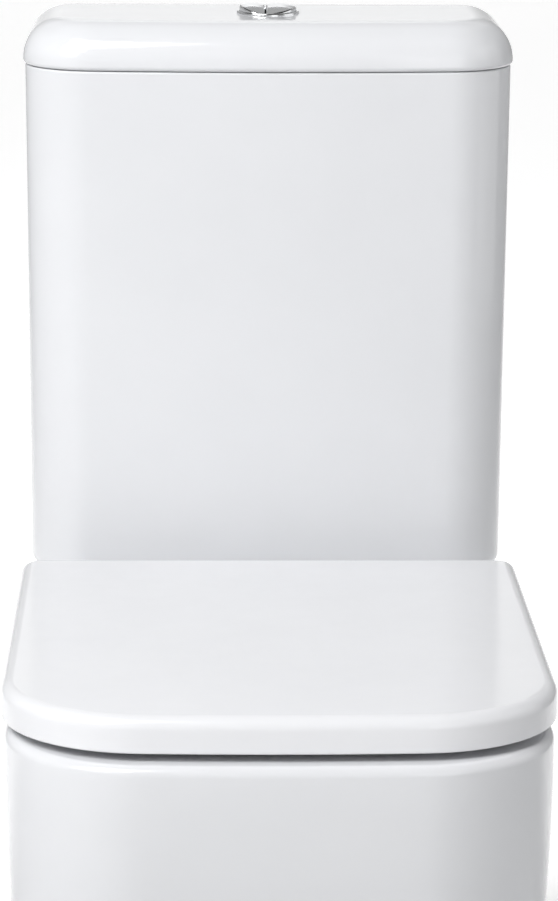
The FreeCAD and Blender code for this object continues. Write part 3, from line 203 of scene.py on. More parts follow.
def turned_metal(name, dark, light):
    """Machined metal with fine rings round the vertical axis."""
    m = Nodes(name)
    m.set(Metallic=1.0)
    m.shades(m.noise(150, 4), dark, light)
    m.rough(m.noise(700, 3, stretch=(0.1, 0.1, 3)), 0.18, 0.34)
    m.bump((m.noise(1400, 2, stretch=(0.05, 0.05, 2)), 0.2, 0.00005))
    return m.material


china, seat_white, chrome_plate = glazed_china(), seat_plastic(), chrome()
finishes = {
    "vitreous_china": china,
    "seat_plastic": seat_white,
    "chrome_plate": chrome_plate,
    "valve_plastic": moulded("valve plastic", (0.72, 0.73, 0.74), (0.80, 0.81, 0.82)),
    "moving_plastic": moulded("blue plastic", (0.05, 0.16, 0.36), (0.07, 0.20, 0.42)),
    "nylon": moulded("nylon", (0.62, 0.61, 0.57), (0.72, 0.71, 0.67), 0.42, 0.55),
    "seal_rubber": rubber("seal rubber", (0.010, 0.010, 0.011), (0.022, 0.022, 0.024)),
    "buffer_rubber": rubber("buffer rubber", (0.60, 0.61, 0.60), (0.70, 0.71, 0.70)),
    "bolt_steel": turned_metal("stainless steel", (0.50, 0.50, 0.49), (0.64, 0.64, 0.63)),
    "bolt_brass": turned_metal("brass", (0.62, 0.44, 0.17), (0.76, 0.58, 0.27)),
    "white_cap": moulded("cap plastic", (0.80, 0.80, 0.80), (0.85, 0.85, 0.85), 0.2, 0.3),
}

slots = {entry["node"]: entry["material_slot"] for entry in frame["record"]["subparts"]}
for node, item in frame["nodes"].items():
    item.data.materials.clear()
    item.data.materials.append(finishes[slots[node]])


# ---------------------------------------------------------------- mesh building
def smooth_through(levels, height):
    """Sizes at a height, on a smooth curve through rows of (height, size, size, ...) in order of height."""
    last = len(levels) - 1
    i = next((k for k in range(last) if height <= levels[k + 1][0]), last - 1)
    below, above = levels[i], levels[i + 1]
    gap = above[0] - below[0]
    t = min(max((height - below[0]) / gap, 0.0), 1.0)
    sizes = []
    for column in range(1, len(below)):
        slopes = []
        for k in (i, i + 1):
            low, high = levels[max(k - 1, 0)], levels[min(k + 1, last)]
            slopes.append((high[column] - low[column]) / (high[0] - low[0]) * gap)
        a, b = below[column], above[column]
        sizes.append(
            a * (1 + 2 * t) * (1 - t) ** 2
            + slopes[0] * t * (1 - t) ** 2
            + b * t * t * (3 - 2 * t)
            + slopes[1] * t * t * (t - 1)
        )
    return sizes


def steps(low, high, count):
    """Evenly spaced numbers from low to high, both included."""
    return [low + (high - low) * i / count for i in range(count + 1)]


def outline(front, back, half_front, half_back, corner, rear_corner, bow, inset=0.0):
    """Plan view points, anticlockwise from the middle of the front: bowed front, round corners,
    tapered sides and a straight back, all moved inwards by the inset."""
    front, back = front + inset, back - inset
    half_front, half_back, corner, bow = (size - inset for size in (half_front, half_back, corner, bow))
    rear_corner = max(rear_corner - inset, 0.5 * MM)
    bow_y = front + bow
    corner_x = half_front - corner
    corner_y = bow_y - math.sqrt((bow - corner) ** 2 - corner_x**2)
    joint = math.atan2(corner_y - bow_y, corner_x)
    rear_x, rear_y = half_back - rear_corner, back - rear_corner
    half = [(bow * math.cos(a), bow_y + bow * math.sin(a)) for a in steps(-math.pi / 2, joint, 16)]
    half += [
        (corner_x + corner * math.cos(a), corner_y + corner * math.sin(a))
        for a in steps(joint, 0, 24)[1:]
    ]
    half += [
        (half_front + (half_back - half_front) * t, corner_y + (rear_y - corner_y) * t)
        for t in steps(0, 1, 22)[1:]
    ]
    half += [
        (rear_x + rear_corner * math.cos(a), rear_y + rear_corner * math.sin(a))
        for a in steps(0, math.pi / 2, 10)[1:]
    ]
    half += [(rear_x * (1 - t), back) for t in steps(0, 1, 12)[1:]]
    return half + [(-x, y) for x, y in reversed(half[1:-1])]


def oval_inside(points, centre_y, half_width, half_length):
    """The points moved along lines to the centre until they lie on an oval."""
    moved = []
    for x, y in points:
        dy = y - centre_y
        reach = math.hypot(x / half_width, dy / half_length)
        moved.append((x / reach, centre_y + dy / reach))
    return moved


def at_height(points, z):
    return [(x, y, z) for x, y in points]


def between(first, second, shares):
    """Rings part of the way from one ring to another."""
    return [
        [tuple(a + (b - a) * share for a, b in zip(p, q)) for p, q in zip(first, second)]
        for share in shares
    ]


def quarter(centre_inset, centre_z, radius, start, end, count=8):
    """(inset, height) points on an arc; 0 degrees points outwards and 90 degrees up."""
    return [
        (centre_inset - radius * math.cos(math.radians(a)), centre_z + radius * math.sin(math.radians(a)))
        for a in steps(start, end, count)
    ]


def skin(rings, pole_start=None, pole_end=None):
    """Points and faces of a surface through rings; without poles it closes on itself like a tyre."""
    count = len(rings[0])
    points = [point for ring in rings for point in ring]
    last = len(rings) if pole_start is None else len(rings) - 1
    faces = []
    for i in range(last):
        near, far = i * count, (i + 1) % len(rings) * count
        for k in range(count):
            n = (k + 1) % count
            faces.append((near + k, near + n, far + n, far + k))
    if pole_start is not None:
        points += [pole_start, pole_end]
        first_pole, second_pole = len(points) - 2, len(points) - 1
        end = (len(rings) - 1) * count
        for k in range(count):
            n = (k + 1) % count
            faces += [(first_pole, n, k), (second_pole, end + k, end + n)]
    return points, faces


def piece(name, *shells):
    """One object out of (points, faces) shells, with every face turned outwards."""
    shape = bmesh.new()
    for points, faces in shells:
        corners = [shape.verts.new(point) for point in points]
        for face in faces:
            shape.faces.new([corners[i] for i in face])
    bmesh.ops.recalc_face_normals(shape, faces=shape.faces)
    mesh = bpy.data.meshes.new(name)
    shape.to_mesh(mesh)
    shape.free()
    item = bpy.data.objects.new(name, mesh)
    bpy.context.collection.objects.link(item)
    return item


def block(low, high):
    """A box between two corners; only used as a cutter."""
    points = [(x, y, z) for x in (low[0], high[0]) for y in (low[1], high[1]) for z in (low[2], high[2])]
    return points, [(0, 1, 3, 2), (4, 6, 7, 5), (0, 4, 5, 1), (2, 3, 7, 6), (0, 2, 6, 4), (1, 5, 7, 3)]


def bar(centre, axis, radius, low, high, count=48):
    """A round bar along X, Y or Z through the centre, between two places on that axis."""
    along = "xyz".index(axis)
    across, over = [i for i in range(3) if i != along]
    rings = []
    for end in (low, high):
        ring = []
        for i in range(count):
            turn = 2 * math.pi * i / count
            point = list(centre)
            point[along] = end
            point[across] += radius * math.cos(turn)
            point[over] += radius * math.sin(turn)
            ring.append(tuple(point))
        rings.append(ring)
    poles = []
    for end in (low, high):
        pole = list(centre)
        pole[along] = end
        poles.append(tuple(pole))
    return skin(rings, *poles)


def carve(item, *cutters):
    """Cuts shells out of a piece for good."""
    for shell in cutters:
        tool = piece("cutter", shell)
        step = item.modifiers.new("cut", "BOOLEAN")
        step.object = tool
        step.solver = "EXACT"
        bpy.context.view_layer.update()
        solid = bpy.data.meshes.new_from_object(item.evaluated_get(bpy.context.evaluated_depsgraph_get()))
        item.modifiers.clear()
        item.data = solid
        bpy.data.objects.remove(tool)
    return item


def present(item, body, slot, material, *nodes):
    """Gives a piece its finish, smooth shading and place in the frame."""
    item.data.materials.clear()
    item.data.materials.append(material)
    item.data.shade_smooth()
    item.data.set_sharp_from_angle(angle=SHARP_ANGLE)
    weights = item.modifiers.new("even shading", "WEIGHTED_NORMAL")
    weights.keep_sharp = True
    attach(item, body)
    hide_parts(*nodes)
    return item


# ---------------------------------------------------------------- pan, one casting with its bowl
def build_pan():
    low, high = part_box("pan")
    rim, wall = high.z, high.y
    band_z = rim - 26 * MM
    edge, skin_wall, deck = 7 * MM, 13 * MM, 16 * MM
    leans = [  # height, setback of the front, narrowing of the sides
        (0.000, 0.0600, 0.0180),
        (0.130, 0.0380, 0.0125),
        (0.260, 0.0130, 0.0043),
        (0.325, 0.0036, 0.0013),
        (band_z, 0.0, 0.0),
    ]
    rear, rear_taper, corner = 12 * MM, 7 * MM, 97 * MM

    def ring(z, inset, hollow=False):
        setback, narrowing = smooth_through(leans, z) if z < band_z else (0.0, 0.0)
        back = wall + rear + 2 * MM + (3 * skin_wall if hollow else inset)
        points = outline(
            low.y + setback, back, high.x - narrowing, high.x - rear_taper - narrowing, corner - narrowing,
            rear + inset, PAN_BOW - narrowing, inset,
        )
        return at_height(points, z)

    bowl_y, half_length, half_width = -125 * MM, 150 * MM, 126 * MM
    floor_in, floor_out = 68 * MM, 57 * MM
    floor_y, bowl_lip = bowl_y + 45 * MM, rim - 18 * MM
    bowl = [  # height, centre along Y, half length, half width
        (floor_in, floor_y, 0.020, 0.020),
        (0.082, floor_y, 0.035, 0.035),
        (0.120, floor_y, 0.043, 0.042),
        (0.170, bowl_y + 0.041, 0.056, 0.052),
        (0.220, bowl_y + 0.029, 0.082, 0.072),
        (0.270, bowl_y + 0.015, 0.112, 0.097),
        (0.330, bowl_y + 0.003, half_length - 0.010, half_width - 0.009),
        (bowl_lip, bowl_y, half_length, half_width),
    ]
    compass = ring(rim, edge)
    flat = [(x, y) for x, y, _ in compass]

    def oval(z, grow=0.0, shape_z=None):
        y, length, width = smooth_through(bowl, z if shape_z is None else shape_z)
        return at_height(oval_inside(flat, y, width + grow, length + grow), z)

    bowl_wall, roll = 11 * MM, 9 * MM
    inside = [oval(floor_in, -9 * MM)] + [oval(z) for z in steps(floor_in + 1 * MM, bowl_lip, 34)]
    inside += [
        oval(rim - roll + roll * math.sin(a), roll - roll * math.cos(a), bowl_lip)
        for a in steps(0, math.pi / 2, 8)
    ]
    deck_top = between(inside[-1], compass, steps(0, 1, 7)[1:-1])
    outside = [ring(z, inset) for inset, z in reversed(quarter(edge, rim - edge, edge, 0, 90))]
    outside += [ring(z, 0.0) for z in reversed(steps(2 * MM, rim - edge - 6 * MM, 30))]
    foot = [ring(0.0, 2 * MM), ring(0.0, skin_wall, True)]
    hollow = [ring(z, skin_wall, True) for z in steps(6 * MM, rim - deck, 20)]
    bowl_top = oval(rim - deck, bowl_wall, bowl_lip)
    under_deck = between(hollow[-1], bowl_top, steps(0, 1, 6)[1:-1])
    shell = [bowl_top]
    shell += [oval(z, bowl_wall) for z in reversed(steps(floor_in + 4 * MM, bowl_lip - 2 * MM, 26))]
    shell.append(oval(floor_out, -4 * MM, floor_in))
    rings = inside + deck_top + outside + foot + hollow + under_deck + shell
    item = piece("pan_casting", skin(rings, (0, floor_y, floor_in), (0, floor_y, floor_out)))
    carve(item, *pan_cutters(rim, wall, deck))
    return present(item, "pan_and_cistern", "vitreous_china", china, "pan", "pan_bowl", "pan_sump")


def pan_cutters(rim, wall, deck):
    """What is cut away: all past the wall, the flush opening and channel, the trap's bore, the bolt
    and screw holes and the notches for the supply."""
    over, clear = 1 * MM, 10 * MM
    flush_radius, hole_depth = 46 * MM, 39 * MM
    duct_half, duct_front, duct_back, duct_floor, duct_cover = 40 * MM, -20 * MM, 60 * MM, 346 * MM, 28 * MM
    seat_bolt_x, seat_bolt_y, seat_bolt_radius = 77.5 * MM, 93 * MM, 7 * MM
    coupling_radius = 6.5 * MM
    notch_x, notch_half, notch_front, notch_depth = 125 * MM, 24 * MM, 210 * MM, 60 * MM
    screw_line = (0, -5 * MM, 28 * MM)
    screw_radius, screw_start, screw_end = 3.5 * MM, 150 * MM, 210 * MM
    recess_radius, recess_start, recess_end = 9.4 * MM, 162 * MM, 182 * MM
    cutters = [
        block((-300 * MM, wall, -clear), (300 * MM, wall + 100 * MM, rim + clear)),
        bar((0, VALVE_Y, 0), "z", flush_radius, rim - deck - over, rim + over, 96),
        block((-duct_half, duct_front, duct_floor), (duct_half, duct_back, rim - duct_cover)),
        trap_cutter(),
    ]
    for sign in (-1, 1):
        seat_bolt = (sign * seat_bolt_x, seat_bolt_y, 0)
        coupling_bolt = (sign * COUPLING_X, VALVE_Y, 0)
        notch_low = (sign * notch_x - notch_half, notch_front, rim - notch_depth)
        notch_high = (sign * notch_x + notch_half, wall + over, rim + over)
        cutters += [
            bar(seat_bolt, "z", seat_bolt_radius, rim - hole_depth, rim + over),
            bar(coupling_bolt, "z", coupling_radius, rim - hole_depth, rim + over),
            block(notch_low, notch_high),
            bar(screw_line, "x", screw_radius, *sorted((sign * screw_start, sign * screw_end)), 32),
            bar(screw_line, "x", recess_radius, *sorted((sign * recess_start, sign * recess_end)), 48),
        ]
    return cutters


def trap_cutter():
    """The bore where the trap leaves the bowl: level, then bending upwards."""
    radius, bend, turn = 38 * MM, 52 * MM, math.radians(62.42)
    start_y, start_z, corner_y = -80 * MM, 106 * MM, -10 * MM
    bend_y = corner_y - bend * math.tan(turn / 2)
    path = [(start_y, start_z, 0.0)]
    path += [
        (bend_y + bend * math.sin(a), start_z + bend - bend * math.cos(a), a)
        for a in steps(0, turn, 10)
    ]
    rings = []
    for centre_y, centre_z, lean in path:
        rings.append(
            [
                (
                    radius * math.cos(a),
                    centre_y - radius * math.sin(a) * math.sin(lean),
                    centre_z + radius * math.sin(a) * math.cos(lean),
                )
                for a in steps(0, 2 * math.pi, 64)[:-1]
            ]
        )
    ends = [(0.0, path[i][0], path[i][1]) for i in (0, -1)]
    return skin(rings, *ends)


# ---------------------------------------------------------------- cistern and its cover
def build_tank():
    low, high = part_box("cistern_body")
    spread, wall, floor = 3.2 * MM, 10 * MM, 12 * MM
    foot, lip, flush_radius = 8 * MM, 1.5 * MM, 32.5 * MM
    fill_valve, fill_radius, coupling_radius = (-125 * MM, 240 * MM, 0), 13 * MM, 5.5 * MM

    def points(z, inset):
        taper = spread * (high.z - z) / (high.z - low.z)
        return outline(
            low.y, high.y, high.x, high.x - 1 * MM, TANK_CORNER, TANK_REAR_CORNER, TANK_BOW, inset + taper
        )

    def rings(profile):
        return [at_height(points(z, inset), z) for inset, z in profile]

    flat = points(low.z, foot)
    circle = oval_inside(flat, VALVE_Y, flush_radius, flush_radius)
    hole = [at_height(circle, low.z + floor), at_height(circle, low.z)]
    foot_rings = rings(quarter(foot, low.z + foot, foot, -90, 0))
    sides = rings([(0.0, z) for z in steps(low.z + foot, high.z - lip, 16)[1:-1]])
    lip_rings = rings(quarter(lip, high.z - lip, lip, 0, 90, 4))
    lip_rings += rings(quarter(wall - lip, high.z - lip, -lip, -90, 0, 4))
    inner = rings([(wall, z) for z in reversed(steps(low.z + floor + foot, high.z - lip, 12)[:-1])])
    bottom = rings(quarter(wall + foot, low.z + floor + foot, foot, 0, -90))
    surface = (
        hole
        + between(hole[1], foot_rings[0], steps(0, 1, 5)[1:-1])
        + foot_rings + sides + lip_rings + inner + bottom[1:]
        + between(bottom[-1], hole[0], steps(0, 1, 5)[1:-1])
    )
    item = piece("cistern_shell", skin(surface))
    through = (low.z - 5 * MM, low.z + floor + 5 * MM)
    holes = [bar(fill_valve, "z", fill_radius, *through)]
    holes += [bar((x, VALVE_Y, 0), "z", coupling_radius, *through) for x in (-COUPLING_X, COUPLING_X)]
    carve(item, *holes)
    return present(item, "pan_and_cistern", "vitreous_china", china, "cistern_body")


def build_cover():
    low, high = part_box("cistern_lid")
    edge, lower_edge, thickness = 31 * MM, 3 * MM, 12 * MM
    under = low.z + 6.5 * MM
    corner_growth = 1.5 * MM

    def points(inset):
        corner, rear_corner = TANK_CORNER + corner_growth, TANK_REAR_CORNER + corner_growth
        bow = TANK_BOW + corner_growth
        return outline(low.y, high.y, high.x, high.x - 1 * MM, corner, rear_corner, bow, inset)

    def rings(profile):
        return [at_height(points(inset), z) for inset, z in profile]

    side = rings(quarter(lower_edge, under + lower_edge, lower_edge, -90, 0, 5))
    top_edge = rings(quarter(edge, high.z - edge, edge, 0, 90, 20))
    hole_radius, hole_edge = 22.5 * MM, 0.6 * MM
    flat = points(edge)
    mouth = [
        at_height(
            oval_inside(flat, VALVE_Y, *[hole_radius + hole_edge * (1 - math.sin(a))] * 2),
            high.z - hole_edge * (1 - math.cos(a)),
        )
        for a in steps(0, math.pi / 2, 4)
    ]
    mouth.append(at_height(oval_inside(flat, VALVE_Y, hole_radius, hole_radius), high.z - thickness))
    lip_out, lip_in, bevel, corner = 13 * MM, 18.5 * MM, 1 * MM, 6 * MM
    ceiling = rings([(lip_in + corner, high.z - thickness), (lip_in, high.z - thickness - corner)])
    lip = rings(
        [
            (lip_in, low.z + bevel),
            (lip_in - bevel, low.z),
            (lip_out + bevel, low.z),
            (lip_out, low.z + bevel),
            (lip_out, under),
        ]
    )
    surface = (
        side + top_edge
        + between(top_edge[-1], mouth[0], steps(0, 1, 7)[1:-1])
        + mouth
        + between(mouth[-1], ceiling[0], steps(0, 1, 5)[1:-1])
        + ceiling + lip
    )
    item = piece("cistern_cover_shell", skin(surface))
    return present(item, "cistern_cover", "vitreous_china", china, "cistern_lid")


# ---------------------------------------------------------------- push button
def turned_rings(profile, count=128):
    """Level circles round the flush valve's axis through (radius, height) points."""
    return [
        [(r * math.cos(a), VALVE_Y + r * math.sin(a), z) for a in steps(0, 2 * math.pi, count)[:-1]]
        for r, z in profile
    ]


def build_bezel():
    """The chrome cup that the two buttons sit in."""
    low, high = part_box("button_bezel")
    cover_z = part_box("cistern_lid")[1].z
    flange, bore, shank = high.x, BUTTON_RADIUS + BUTTON_GAP, BUTTON_RADIUS + 1 * MM
    floor, lip, flange_edge = low.z + 3 * MM, 0.4 * MM, 0.3 * MM
    rod_x, rod_hole, over = 10 * MM, 2.6 * MM, 1 * MM
    profile = [(bore, z) for z in steps(floor, high.z - lip, 6)]
    roll = (flange - bore) / 2
    profile += [
        (bore + roll - roll * math.cos(a), high.z - lip + lip * math.sin(a))
        for a in steps(0, math.pi / 2, 6)[1:]
    ]
    slope = high.z - cover_z - flange_edge
    profile += [
        (flange - roll + roll * math.sin(a), high.z - slope + slope * math.cos(a))
        for a in steps(0, math.pi / 2, 8)[1:]
    ]
    profile += [(flange, cover_z), (shank, cover_z), (shank, low.z)]
    cup = skin(turned_rings(profile), (0, VALVE_Y, floor), (0, VALVE_Y, low.z))
    item = piece("bezel_cup", cup)
    carve(item, *(bar((x, VALVE_Y, 0), "z", rod_hole, low.z - over, floor + over) for x in (-rod_x, rod_x)))
    return present(item, "cistern_cover", "chrome_plate", chrome_plate, "button_bezel")


def build_button(node, body, sign, crest_x, crest_radius):
    """One side of the split button, domed like part of a ball and hollow below."""
    low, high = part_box(node)
    split_x, half_split = -2 * MM, 0.4 * MM
    split, wall, edge = split_x + sign * half_split, 2 * MM, 1.2 * MM
    ceiling_z = low.z + 17 * MM

    def plan(inset):
        radius = BUTTON_RADIUS - inset
        chord = split + sign * inset
        reach = math.acos(sign * chord / radius)
        end_y = radius * math.sin(reach)
        points = [(sign * radius * math.cos(a), radius * math.sin(a)) for a in steps(-reach, reach, 72)]
        points += [(chord, end_y * (1 - 2 * t)) for t in steps(0, 1, 28)[1:-1]]
        return points

    def dome(x, y, drop=0.0):
        return high.z - crest_radius + math.sqrt(crest_radius**2 - (x - crest_x) ** 2 - y**2) - drop

    def domed(points, drop=0.0):
        return [(x, VALVE_Y + y, dome(x, y, drop)) for x, y in points]

    def level_ring(inset, z):
        return [(x, VALVE_Y + y, z) for x, y in plan(inset)]

    def towards_crest(points, share):
        return [(x + (crest_x - x) * share, y * (1 - share)) for x, y in points]

    top = [domed(towards_crest(plan(edge), share)) for share in reversed(steps(0, NEAR_POLE, 22))]
    rim = [
        domed(plan(edge - edge * math.sin(a)), edge - edge * math.cos(a))
        for a in steps(0, math.pi / 2, 7)[1:]
    ]
    side = [level_ring(0.0, low.z)]
    inside = [level_ring(wall, low.z), level_ring(wall, ceiling_z)]
    under = [
        [(x, VALVE_Y + y, ceiling_z) for x, y in towards_crest(plan(wall), share)]
        for share in (0.5, NEAR_POLE)
    ]
    poles = ((crest_x, VALVE_Y, high.z), (crest_x, VALVE_Y, ceiling_z))
    item = piece(f"{node}_cap", skin(top + rim + side + inside + under, *poles))
    return present(item, body, "chrome_plate", chrome_plate, node)


# ---------------------------------------------------------------- seat ring and lid
def knuckle(low_x, high_x, profile, bore):
    """A hinge knuckle: a (y, z) profile run along X, with the pin's bore through it."""
    count = len(profile)
    hinge_y, hinge_z = HINGE
    inner = []
    for y, z in profile:
        reach = math.hypot(y - hinge_y, z - hinge_z)
        inner.append((hinge_y + (y - hinge_y) * bore / reach, hinge_z + (z - hinge_z) * bore / reach))
    loops = ((low_x, inner), (low_x, profile), (high_x, profile), (high_x, inner))
    return skin([[(x, y, z) for y, z in loop] for x, loop in loops])


def barrel_to(points, start, end):
    """The barrel's round side from one angle to another, then the given corners."""
    turn = [
        (HINGE[0] + BARREL * math.cos(math.radians(a)), HINGE[1] + BARREL * math.sin(math.radians(a)))
        for a in steps(start, end, 24)
    ]
    return turn + points


def build_seat():
    low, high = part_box("seat_ring")
    top, back, corner, rear_corner = 428 * MM, 87 * MM, 89 * MM, 10 * MM
    edge, lower_edge, dip = 6 * MM, 2 * MM, 1.2 * MM
    arm_reach, arm_top, arm_foot = 5 * MM, 0.5 * MM, 4 * MM
    # From x and to x in millimetres, and the bore
    knuckles = ((20, 52, DAMPER_BORE), (52, 65.5, PIN_BORE), (-65.5, -40, PIN_BORE))
    hole_y, hole_half_length, hole_half_width = -118 * MM, 141 * MM, 112 * MM

    def points(inset):
        return outline(low.y, back, high.x, high.x - SIDE_TAPER, corner, rear_corner, PAN_BOW, inset)

    def rings(profile):
        return [at_height(points(inset), z) for inset, z in profile]

    flat = points(edge)

    def opening(profile):
        return [
            at_height(oval_inside(flat, hole_y, hole_half_width + out, hole_half_length + out), z)
            for out, z in profile
        ]

    outer = rings(quarter(lower_edge, low.z + lower_edge, lower_edge, -90, 0, 4))
    outer += rings(quarter(edge, top - edge, edge, 0, 90))
    inner = opening(
        (edge - edge * math.sin(a), top - dip - edge + edge * math.cos(a)) for a in steps(0, math.pi / 2, 8)
    )
    inner += opening(
        (lower_edge * (1 - math.cos(a)), low.z + lower_edge * (1 - math.sin(a)))
        for a in steps(0, math.pi / 2, 4)
    )
    surface = (
        outer
        + between(outer[-1], inner[0], steps(0, 1, 9)[1:-1])
        + inner
        + between(inner[-1], outer[0], steps(0, 1, 5)[1:-1])
    )
    shells = [skin(surface)]
    arm_y = back - arm_reach
    arm = barrel_to([(arm_y, top - arm_top), (arm_y, HINGE[1] - arm_foot)], -90, 90)
    for low_x, high_x, bore in knuckles:
        shells.append(knuckle(low_x * MM, high_x * MM, arm, bore))
    item = piece("seat_ring_moulding", *shells)
    return present(item, "seat", "seat_plastic", seat_white, "seat_ring")


def build_lid():
    low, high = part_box("seat_lid")
    skirt, ceiling, wall = 411.5 * MM, 430.5 * MM, 5 * MM
    edge, lower_edge, inner_edge, chamfer = 9 * MM, 1.5 * MM, 4 * MM, 1.2 * MM
    corner, rear_corner = 97 * MM, 14 * MM
    slot_margin, slot_top = 8 * MM, 417 * MM
    # From x and to x in millimetres, and the bore
    knuckles = ((89.5, 110, PIN_BORE), (-103, -89.5, PIN_BORE), (-130, -103, DAMPER_BORE))

    def points(inset):
        return outline(low.y, high.y, high.x, high.x - SIDE_TAPER, corner, rear_corner, PAN_BOW, inset)

    def rings(profile):
        return [at_height(points(inset), z) for inset, z in profile]

    centre = (0.0, (low.y + high.y) / 2)
    top_edge = rings(reversed(quarter(edge, high.z - edge, edge, 0, 90, 10)))
    top_middle = at_height([centre] * len(top_edge[0]), high.z)
    top = between(top_middle, top_edge[0], [1 - NEAR_POLE] + steps(0.1, 1, 9)[:-1])
    side = rings([(0.0, z) for z in steps(high.z - edge, skirt + lower_edge, 3)[1:]])
    foot = rings(reversed(quarter(lower_edge, skirt + lower_edge, lower_edge, -90, 0, 4)))
    foot += rings([(wall - lower_edge, skirt), (wall, skirt + lower_edge)])
    inside = rings(
        [(wall, ceiling - inner_edge), (wall + chamfer, ceiling - chamfer), (wall + inner_edge, ceiling)]
    )
    ceiling_middle = at_height([centre] * len(inside[-1]), ceiling)
    under = between(inside[-1], ceiling_middle, steps(0, 0.9, 9)[1:] + [NEAR_POLE])
    surface = top + top_edge + side + foot[1:] + inside + under
    item = piece("seat_lid_moulding", skin(surface, (*centre, high.z), (*centre, ceiling)))
    over = 1 * MM
    back_low, back_high = high.y - wall - over, high.y + over
    slot_x = high.x - slot_margin
    cutters = [block((-slot_x, back_low, skirt - over), (slot_x, back_high, slot_top))]
    notch_front, notch_width = back_low - inner_edge, 26.5 * MM
    notch_top = ceiling - 0.02 * MM
    for low_x in (64.5 * MM, -91 * MM):
        notch_end = (low_x + notch_width, back_high, notch_top)
        cutters.append(block((low_x, notch_front, skirt - 2 * over), notch_end))
    carve(item, *cutters)
    half = 5.5 * MM
    drop = math.sqrt(BARREL**2 - half**2)
    tilt = math.degrees(math.atan2(drop, half))
    root_z = ceiling + over
    arm = barrel_to([(HINGE[0] + half, root_z), (HINGE[0] - half, root_z)], -180 - tilt, tilt)
    shells = [knuckle(low_x * MM, high_x * MM, arm, bore) for low_x, high_x, bore in knuckles]
    present(piece("seat_lid_knuckles", *shells), "lid", "seat_plastic", seat_white)
    return present(item, "lid", "seat_plastic", seat_white, "seat_lid")


build_pan()
build_tank()
build_cover()
build_bezel()
build_button("full_flush_button", "full_button", 1, 7.4 * MM, 42 * MM)
build_button("half_flush_button", "half_button", -1, -11.3 * MM, 38 * MM)
build_seat()
build_lid()


# ---------------------------------------------------------------- studio
# The pool of light behind the object: where it starts and is full along Y, and across X; then its strength
POOL_FRONT, POOL_FULL, POOL_SIDE, POOL_CORE = 0.25, 0.75, 2.2, 0.9
POOL_GLOW = 0.75
# The faint glow of the far paper all round: where it starts, where it is full, and its strength
FAR_START, FAR_FULL, FAR_GLOW = 2.5, 6.0, 0.16
AMBIENT = 0.03


def studio_paper():
    """Pale paper with a soft pool of light behind the object and a faint glow far away."""
    m = Nodes("studio paper")
    m.shades(m.noise(2, 2), (0.74, 0.74, 0.74), (0.77, 0.77, 0.77))
    m.rough(m.noise(40, 3), 0.8, 0.95)
    m.bump((m.noise(600, 3), 0.05, 0.0001))
    m.set(Emission_Color=(1, 1, 1, 1))
    place = m.add("ShaderNodeSeparateXYZ")
    m.link(m.place, place.inputs[0])
    sideways = m.add("ShaderNodeMath", operation="ABSOLUTE")
    m.link(place.outputs["X"], sideways.inputs[0])
    behind = m.fade(place.outputs["Y"], POOL_FRONT, POOL_FULL, POOL_GLOW)
    beside = m.fade(sideways.outputs["Value"], POOL_SIDE, POOL_CORE, 1.0)
    pool = m.add("ShaderNodeMath", operation="MULTIPLY")
    m.link(behind, pool.inputs[0])
    m.link(beside, pool.inputs[1])
    distance = m.add("ShaderNodeVectorMath", operation="LENGTH")
    m.link(m.place, distance.inputs[0])
    glow = m.add("ShaderNodeMath", operation="MAXIMUM")
    m.link(pool.outputs["Value"], glow.inputs[0])
    m.link(m.fade(distance.outputs["Value"], FAR_START, FAR_FULL, FAR_GLOW), glow.inputs[1])
    m.link(glow.outputs["Value"], m.shader.inputs["Emission Strength"])
    return m.material


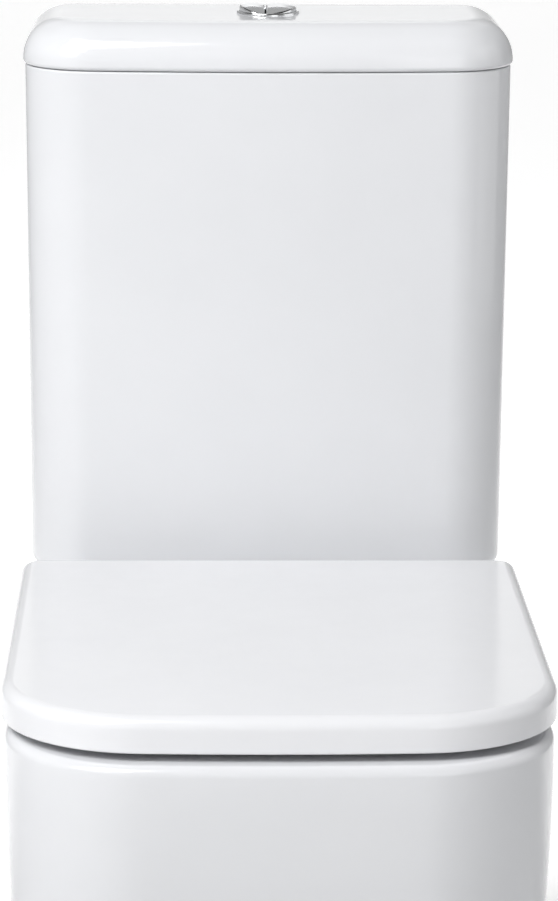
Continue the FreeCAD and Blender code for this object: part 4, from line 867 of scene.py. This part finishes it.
def cyclorama():
    """A round paper floor that curves up into a wall all round."""
    floor_radius, bend, top, count = 9.0, 3.0, 9.0, 96
    profile = [(r, 0.0) for r in (0.5, 1.5, 3.0, 6.0, floor_radius)]
    profile += [
        (floor_radius + bend * math.sin(a), bend - bend * math.cos(a)) for a in steps(0, math.pi / 2, 12)[1:]
    ]
    profile.append((floor_radius + bend, top))
    rings = [
        [(r * math.cos(a), r * math.sin(a), z) for a in steps(0, 2 * math.pi, count)[:-1]] for r, z in profile
    ]
    points = [(0.0, 0.0, 0.0)] + [point for ring in rings for point in ring]
    faces = [(0, 1 + k, 1 + (k + 1) % count) for k in range(count)]
    for i in range(len(rings) - 1):
        near, far = 1 + i * count, 1 + (i + 1) * count
        faces += [(near + k, far + k, far + (k + 1) % count, near + (k + 1) % count) for k in range(count)]
    mesh = bpy.data.meshes.new("cyclorama")
    mesh.from_pydata(points, [], faces)
    mesh.shade_smooth()
    item = bpy.data.objects.new("cyclorama", mesh)
    bpy.context.collection.objects.link(item)
    item.data.materials.append(studio_paper())
    return item


def softbox(name, place, target, size, power):
    """A square light that faces its target; size in metres, power in watts."""
    light = bpy.data.lights.new(name, "AREA")
    light.size = size
    light.energy = power
    item = bpy.data.objects.new(name, light)
    item.location = place
    item.rotation_euler = (Vector(target) - Vector(place)).to_track_quat("-Z", "Y").to_euler()
    item.visible_camera = False
    bpy.context.collection.objects.link(item)
    return item


cyclorama()
softbox("key", (-2.2, -2.0, 2.6), (0, 0, 0.5), 1.8, 39)
softbox("high key", (-1.3, -1.6, 3.2), (0, 0, 0.5), 1.8, 79)
softbox("front right", (1.8, -4.0, 1.4), (0, 0, 0.4), 2.0, 13)
softbox("high back", (0, 2.5, 4.0), (0, 0, 0.8), 4.0, 20)
softbox("right", (3.0, 0.0, 1.2), (0, 0, 0.5), 2.5, 14)

world = bpy.data.worlds.new("studio")
world.use_nodes = True
world.node_tree.nodes["Background"].inputs["Color"].default_value = (1, 1, 1, 1)
world.node_tree.nodes["Background"].inputs["Strength"].default_value = AMBIENT
bpy.context.scene.world = world
bpy.context.scene.view_settings.view_transform = "Standard"


# ---------------------------------------------------------------- camera
def camera(place, yaw, pitch, roll, lens):
    """Looks along +Y, then turned right by yaw, down by pitch and rolled clockwise, in radians."""
    forward = Vector((math.sin(yaw) * math.cos(pitch), math.cos(yaw) * math.cos(pitch), -math.sin(pitch)))
    level_right = Vector((math.cos(yaw), -math.sin(yaw), 0))
    level_up = level_right.cross(forward)
    right = level_right * math.cos(roll) + level_up * math.sin(roll)
    up = level_up * math.cos(roll) - level_right * math.sin(roll)
    data = bpy.data.cameras.new("camera")
    data.lens = lens
    data.clip_end = 50
    item = bpy.data.objects.new("camera", data)
    turn = Matrix((right, up, -forward)).transposed().to_4x4()
    item.matrix_world = Matrix.Translation(place) @ turn
    bpy.context.collection.objects.link(item)
    bpy.context.scene.camera = item


camera((-0.0718, -2.9290, 1.1951), 0.0260, 0.2189, 0.0059, 168.79)
